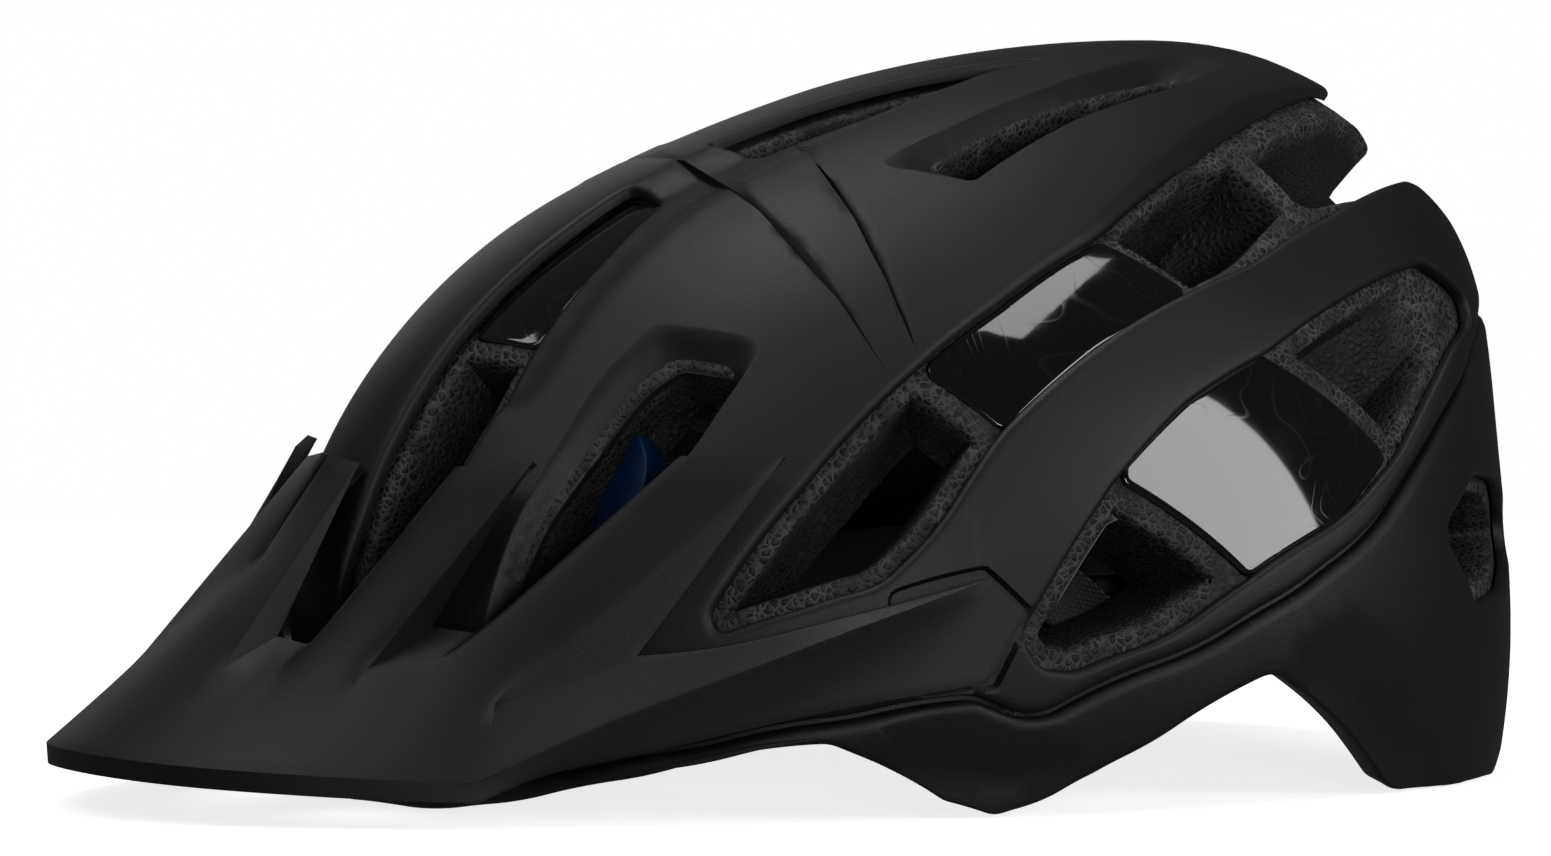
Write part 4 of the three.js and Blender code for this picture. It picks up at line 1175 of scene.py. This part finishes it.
def webbing_and_buckle(web, plastic):
    for s, side in SIDES:
        for end, path, depth in (("front", [(71, 19), (84, 9), (94, 1)], -1.25),
                                 ("rear", [(140, 20), (124, 10), (107, 0)], -1.25),
                                 ("chin", [(102, -2), (118, 6), (136, 15), (152, 20)], -3.2)):
            strap(f"{end}_strap_{side}", path, 13.6, depth, 1.4, s, web, [f"strap_{end}_{side}"])
        axis = on_side(aim(101, -0.5), s)
        seat = on_side(on_wall([aim(101, -0.5)], -5.5)[0], s)
        u = unit(np.cross(Z, axis))
        v = np.cross(axis, u)
        frame_loop = pill(21, 15.4, 4, 5)
        rails = [(frame_loop, -1.0, 1.0, seat, u, v, axis)]
        rails += [(pill(2.0, 10.6, 0.9) + [x, 0], -1.7, 1.5, seat, u, v, axis) for x in (-7.6, 0, 7.6)]
        solid("strap_guide_" + side, rails, plastic, "helmet", ["strap_divider_" + side], 0.3, 2)

    socket = [plate(3.2, 25, 66.2, 81.8, 85.1, 86.3, 4), plate(3.2, 25, 66.2, 81.8, 90.2, 91.4, 4),
              plate(3.2, 16, 66.2, 68.0, 86.2, 90.3, 0.8), plate(3.2, 16, 80.0, 81.8, 86.2, 90.3, 0.8),
              plate(16, 20, 66.2, 81.8, 86.2, 90.3, 1.5), plate(22.4, 25, 67, 81, 86.2, 90.3, 1.2)]
    socket += [plate(8 + 2.2 * k, 9 + 2.2 * k, 70, 78, 91.2, 91.75, 0.45) for k in range(3)]
    solid("buckle_housing", socket, plastic, "helmet", ["buckle_socket"], 0.3)
    tongue = [plate(-21, -18.8, 67.2, 80.8, 85.7, 90.8, 1.0), plate(-12, 2.4, 67.2, 80.8, 85.7, 90.8, 2.2),
              plate(-20, -10, 67.2, 69.4, 86.2, 90.3, 0.9), plate(-20, -10, 78.6, 80.8, 86.2, 90.3, 0.9),
              plate(0, 13.6, 72.6, 75.4, 87.0, 89.5, 1.0), plate(0, 13.2, 68.6, 70.4, 87.0, 89.5, 0.8),
              plate(0, 13.2, 77.6, 79.4, 87.0, 89.5, 0.8)]
    solid("buckle_prong", tongue, plastic, "tongue", ["buckle_tongue"], 0.3)


# ---------------------------------------------------------------- materials
class Look:
    """A node material; wires and nodes in a few short calls."""

    def __init__(self, name, colour, roughness, **sockets):
        self.mat = bpy.data.materials.new(name)
        self.mat.use_nodes = True
        self.tree = self.mat.node_tree
        self.bsdf = self.tree.nodes["Principled BSDF"]
        self.bsdf.inputs["Base Color"].default_value = (*colour, 1)
        self.bsdf.inputs["Roughness"].default_value = roughness
        for key, value in sockets.items():
            self.bsdf.inputs[key.replace("_", " ")].default_value = value
        self.at = self.node("ShaderNodeTexCoord").outputs["Object"]

    def node(self, kind, **settings):
        n = self.tree.nodes.new(kind)
        for key, value in settings.items():
            setattr(n, key, value)
        return n

    def wire(self, source, target):
        self.tree.links.new(source, target)

    def noise(self, scale, detail=3.0, rough=0.5, where=None, distortion=0.0):
        n = self.node("ShaderNodeTexNoise")
        self.wire(where or self.at, n.inputs["Vector"])
        settings = {"Scale": scale, "Detail": detail, "Roughness": rough, "Distortion": distortion}
        for key, value in settings.items():
            n.inputs[key].default_value = value
        return n.outputs["Fac"]

    def cells(self, scale, feature="F1", jitter=1.0):
        n = self.node("ShaderNodeTexVoronoi", feature=feature)
        self.wire(self.at, n.inputs["Vector"])
        n.inputs["Scale"].default_value = scale
        n.inputs["Randomness"].default_value = jitter
        return n

    def remap(self, value, low, high, out_low, out_high, soft=True):
        n = self.node("ShaderNodeMapRange", interpolation_type="SMOOTHSTEP" if soft else "LINEAR")
        self.wire(value, n.inputs["Value"])
        for key, number in zip(("From Min", "From Max", "To Min", "To Max"), (low, high, out_low, out_high)):
            n.inputs[key].default_value = number
        return n.outputs["Result"]

    def maths(self, operation, a, b=None):
        n = self.node("ShaderNodeMath", operation=operation)
        for slot, value in zip(n.inputs, (a, b)):
            if value is None:
                continue
            if isinstance(value, (int, float)):
                slot.default_value = value
            else:
                self.wire(value, slot)
        return n.outputs[0]

    def blend(self, amount, first, second):
        n = self.node("ShaderNodeMix", data_type="RGBA")
        self.wire(amount, n.inputs["Factor"])
        for socket, value in (("A", first), ("B", second)):
            slot = next(i for i in n.inputs if i.name == socket and i.type == "RGBA")
            if isinstance(value, tuple):
                slot.default_value = (*value, 1)
            else:
                self.wire(value, slot)
        return next(o for o in n.outputs if o.type == "RGBA")

    def bump(self, height, distance, strength=1.0, after=None):
        n = self.node("ShaderNodeBump")
        n.inputs["Strength"].default_value = strength
        n.inputs["Distance"].default_value = distance
        self.wire(height, n.inputs["Height"])
        if after is not None:
            self.wire(after, n.inputs["Normal"])
        return n.outputs["Normal"]

    def finish(self, colour=None, roughness=None, normal=None):
        for name, source in (("Base Color", colour), ("Roughness", roughness), ("Normal", normal)):
            if source is not None:
                self.wire(source, self.bsdf.inputs[name])
        return self.mat


def matte_shell():
    look = Look("matte_shell", (0.008, 0.0075, 0.008), 0.5, IOR=1.46, Specular_IOR_Level=0.42)
    cloud = look.noise(22, 4)
    grain = look.noise(2600, 2, 0.6)
    colour = look.blend(look.remap(cloud, 0.3, 0.7, 0, 1), (0.0064, 0.006, 0.0066), (0.0088, 0.0081, 0.0087))
    fine = look.remap(grain, 0.3, 0.7, -0.03, 0.05)
    rough = look.maths("ADD", look.remap(cloud, 0.3, 0.7, 0.44, 0.50), fine)
    scuff = look.remap(look.noise(140, 6, 0.7, distortion=0.6), 0.68, 0.8, 0, 0.08)
    rough = look.maths("ADD", rough, scuff)
    return look.finish(colour, rough, look.bump(grain, 0.00007, 0.8))


def gloss_panel():
    look = Look("gloss_panel", (0.004, 0.004, 0.0045), 0.07, IOR=1.5, Coat_Weight=0.6, Coat_Roughness=0.03)
    hills = look.noise(30, 1.5, 0.45, distortion=0.5)
    steps = look.maths("FRACT", look.maths("MULTIPLY", hills, 19.0))
    line = look.remap(look.maths("ABSOLUTE", look.maths("SUBTRACT", steps, 0.5)), 0.0, 0.06, 1.0, 0.0)
    smear = look.noise(60, 4, 0.55)
    colour = look.blend(line, (0.0022, 0.0022, 0.0025), (0.0062, 0.006, 0.0064))
    rough = look.maths("ADD", look.remap(line, 0, 1, 0.05, 0.1), look.remap(smear, 0.45, 0.75, 0.0, 0.05))
    normal = look.bump(look.noise(9, 2), 0.0012, 0.25)
    return look.finish(colour, rough, look.bump(line, 0.00001, 0.3, normal))


def bead_foam():
    look = Look("bead_foam", (0.03, 0.029, 0.028), 0.75, Specular_IOR_Level=0.3)
    bend = look.node("ShaderNodeVectorMath", operation="ADD")
    wobble = look.node("ShaderNodeVectorMath", operation="SCALE")
    swirl = look.node("ShaderNodeTexNoise")
    look.wire(look.at, swirl.inputs["Vector"])
    swirl.inputs["Scale"].default_value = 560
    look.wire(swirl.outputs["Color"], wobble.inputs[0])
    wobble.inputs["Scale"].default_value = 0.0008
    look.wire(look.at, bend.inputs[0])
    look.wire(wobble.outputs[0], bend.inputs[1])
    borders, beads = look.cells(590, "DISTANCE_TO_EDGE"), look.cells(590)
    for cell in (borders, beads):
        look.wire(bend.outputs[0], cell.inputs["Vector"])
    split = look.node("ShaderNodeSeparateColor")
    look.wire(beads.outputs["Color"], split.inputs["Color"])
    # the bead pattern is the foam's own; the light grey on the bead edges is a painted highlight where the
    # edges catch light, made uneven by the patch noise
    rim = look.remap(borders.outputs["Distance"], 0.0, 0.17, 1, 0)
    patch = look.remap(look.noise(110, 4, 0.6), 0.32, 0.68, 0.1, 1.0)
    inside = look.blend(split.outputs["Red"], (0.01, 0.0095, 0.0095), (0.028, 0.027, 0.026))
    colour = look.blend(look.maths("MULTIPLY", rim, patch), inside, (0.105, 0.1, 0.094))
    # painted shade: the foam colour darkens towards near-black the deeper a point lies under the outer skin,
    # down the vent walls and scoops
    depth = look.node("ShaderNodeAttribute", attribute_name="inside").outputs["Fac"]
    shade = look.remap(depth, 4.5, 11.0, 0.0, 0.8)
    colour = look.blend(shade, colour, (0.006, 0.0058, 0.0058))
    rough = look.remap(rim, 0, 1, 0.55, 0.85)
    normal = look.bump(look.remap(borders.outputs["Distance"], 0.0, 0.35, 0, 1), 0.00035, 0.7)
    return look.finish(colour, rough, look.bump(look.noise(1500, 3, 0.6), 0.0001, 0.5, normal))


def pad_cloth():
    look = Look("pad_cloth", (0.02, 0.02, 0.021), 0.85, Sheen_Weight=0.35, Sheen_Roughness=0.5)
    knit = look.cells(900, "F1", 0.35).outputs["Distance"]
    fuzz = look.noise(1800, 4, 0.7)
    colour = look.blend(look.remap(knit, 0.1, 0.6, 0, 1), (0.03, 0.03, 0.032), (0.007, 0.007, 0.0075))
    colour = look.blend(look.remap(look.noise(120, 4), 0.4, 0.7, 0, 0.4), colour, (0.04, 0.04, 0.043))
    normal = look.bump(knit, -0.0004, 0.8)
    return look.finish(colour, look.remap(fuzz, 0.3, 0.7, 0.78, 0.95), look.bump(fuzz, 0.0001, 0.6, normal))


def webbing():
    look = Look("webbing", (0.02, 0.02, 0.021), 0.7, Sheen_Weight=0.2, Sheen_Roughness=0.45)
    split = look.node("ShaderNodeSeparateXYZ")
    look.wire(look.node("ShaderNodeTexCoord").outputs["UV"], split.inputs["Vector"])
    along, across = split.outputs["X"], split.outputs["Y"]

    def rib(value, count):
        wave = look.maths("SINE", look.maths("MULTIPLY", value, count * 2 * math.pi))
        return look.remap(wave, -1, 1, 0, 1)

    warp = rib(look.maths("ADD", across, look.maths("MULTIPLY", along, 0.5)), 0.9)
    weft = rib(look.maths("SUBTRACT", across, look.maths("MULTIPLY", along, 0.5)), 0.9)
    weave = look.maths("MULTIPLY", warp, weft)
    fibre = look.noise(2200, 3, 0.6)
    colour = look.blend(weave, (0.006, 0.006, 0.0065), (0.034, 0.034, 0.036))
    normal = look.bump(weave, 0.0003, 0.9)
    return look.finish(colour, look.remap(fibre, 0.3, 0.7, 0.6, 0.82), look.bump(fibre, 0.00006, 0.5, normal))


def elastomer():
    look = Look("elastomer", (0.002, 0.022, 0.075), 0.45, Specular_IOR_Level=0.4)
    cloud = look.noise(160, 4)
    colour = look.blend(look.remap(cloud, 0.3, 0.7, 0, 1), (0.0016, 0.018, 0.064), (0.0024, 0.027, 0.09))
    grain = look.bump(look.noise(1300, 3), 0.00005, 0.5)
    return look.finish(colour, look.remap(cloud, 0.3, 0.7, 0.38, 0.5), grain)


def moulded(name, dark, light, rough_low, rough_high, grain_scale=1700, depth=0.00006):
    look = Look(name, light, rough_high)
    cloud = look.noise(90, 4)
    grain = look.noise(grain_scale, 2, 0.6)
    colour = look.blend(look.remap(cloud, 0.3, 0.7, 0, 1), dark, light)
    rough = look.remap(look.noise(260, 4), 0.3, 0.7, rough_low, rough_high)
    return look.finish(colour, rough, look.bump(grain, depth, 0.6))


def floor_look():
    look = Look("pale_floor", (0.9, 0.9, 0.9), 0.7, Emission_Color=(1, 1, 1, 1), Emission_Strength=0.8)
    colour = look.blend(look.remap(look.noise(3, 3), 0.3, 0.7, 0, 1), (0.9, 0.9, 0.9), (0.915, 0.913, 0.91))
    return look.finish(colour, look.remap(look.noise(8, 3), 0.3, 0.7, 0.65, 0.8))


# ---------------------------------------------------------------- studio
ROOM_LIGHT = 0.06      # soft light from all round, and what the pale floor sends back up
FLOOR_GLOW = 0.1
FLOOR_RADIUS = 0.9
# name, azimuth and elevation in degrees, distance, width and height in metres, turn in degrees, watts
LAMPS = [("overhead", 300, 82, 1.3, 0.9, 0.6, 0, 5.5),
         ("panel_strip", 124, 59, 1.3, 0.42, 0.15, 25, 0.75),
         ("front_soft", 20, 48, 1.5, 0.9, 0.7, 0, 3.0),
         ("side_strip", 125, 19, 1.4, 0.37, 0.82, 23, 5.0),
         ("low_fill", 79, 6, 1.6, 0.5, 0.45, 0, 5.0),
         ("far_soft", 332, 50, 1.5, 0.2, 0.2, 0, 0.35),
         ("rear_soft", 262, 20, 1.7, 0.9, 0.6, 0, 1.2)]


def studio():
    mesh = bpy.data.meshes.new("floor")
    turns = [math.radians(3 * k) for k in range(120)]
    mesh.from_pydata([(FLOOR_RADIUS * math.cos(t), FLOOR_RADIUS * math.sin(t), 0) for t in turns], [],
                     [tuple(range(120))])
    floor = add_object("floor", mesh)
    floor.location.z = -0.0004
    floor.visible_glossy = floor.visible_diffuse = False
    mesh.materials.append(floor_look())

    world = bpy.data.worlds.new("studio")
    bpy.context.scene.world = world
    world.use_nodes = True
    tree = world.node_tree
    tree.nodes["Background"].inputs["Color"].default_value = (1, 1, 1, 1)
    dim = tree.nodes.new("ShaderNodeMapRange")
    split = tree.nodes.new("ShaderNodeSeparateXYZ")
    tree.links.new(tree.nodes.new("ShaderNodeTexCoord").outputs["Generated"], split.inputs["Vector"])
    height = tree.nodes.new("ShaderNodeMapRange")
    horizon = {"From Min": -0.12, "From Max": 0.05, "To Min": FLOOR_GLOW, "To Max": ROOM_LIGHT}
    for key, value in horizon.items():
        height.inputs[key].default_value = value
    tree.links.new(split.outputs["Z"], height.inputs["Value"])
    tree.links.new(height.outputs["Result"], dim.inputs["To Min"])
    dim.inputs["To Max"].default_value = 1.0
    tree.links.new(tree.nodes.new("ShaderNodeLightPath").outputs["Is Camera Ray"], dim.inputs["Value"])
    tree.links.new(dim.outputs["Result"], tree.nodes["Background"].inputs["Strength"])

    for name, azimuth, elevation, distance, width, tall, turn, power in LAMPS:
        light = bpy.data.lights.new(name, "AREA")
        light.shape = "RECTANGLE"
        light.size, light.size_y, light.energy = width, tall, power
        obj = add_object(name, light)
        back = Vector(aim(azimuth, elevation))
        obj.location = Vector((0, 0, 0.08)) + back * distance
        aimed = back.to_track_quat("Z", "Y") @ Quaternion((0, 0, 1), math.radians(turn))
        obj.rotation_euler = aimed.to_euler()


VIEW_AZIMUTH = 63
VIEW_ELEVATION = 3
VIEW_DISTANCE = 1500


def camera():
    right, back = aim(VIEW_AZIMUTH + 90, 0), aim(VIEW_AZIMUTH, VIEW_ELEVATION)
    eye = np.array([0, 0, 76.0]) - right * 27.34 + back * VIEW_DISTANCE
    data = bpy.data.cameras.new("photo_view")
    obj = add_object("photo_view", data)
    data.lens = 155.98
    data.sensor_width = 36
    data.clip_start, data.clip_end = 0.05, 100
    obj.location = Vector(place(eye))
    obj.rotation_euler = Vector(back).to_track_quat("Z", "Y").to_euler()
    bpy.context.scene.camera = obj


bpy.context.scene.view_settings.view_transform = "Standard"
camera()
studio()
SHELL, GLOSS, FOAM = matte_shell(), gloss_panel(), bead_foam()
upper_shell(SHELL)
lower_shell(SHELL)
liner(FOAM)
for side in (1, -1):
    panel("side_panel", SIDE_PANEL, side, GLOSS)
    panel("window_panel", WINDOW_PANEL, side, GLOSS)
    panel("front_panel", FRONT_PANEL, side, GLOSS)
visor(SHELL)
BLUE, CLOTH, WEB = elastomer(), pad_cloth(), webbing()
PLASTIC = moulded("fit_plastic", (0.004, 0.004, 0.0043), (0.0068, 0.0066, 0.007), 0.4, 0.52)
KNOB = moulded("dial_rubber", (0.005, 0.005, 0.0052), (0.0085, 0.0083, 0.0086), 0.62, 0.75, 1200, 0.0001)
for number, (azimuth, elevation) in enumerate(TURBINES, 1):
    for side in (1, -1):
        turbine(number, azimuth, elevation, side, BLUE)
pads(CLOTH)
fit_system(PLASTIC, KNOB)
webbing_and_buckle(WEB, PLASTIC)
label(moulded("label_film", (0.11, 0.11, 0.112), (0.15, 0.15, 0.152), 0.5, 0.65, 800, 0.00004))
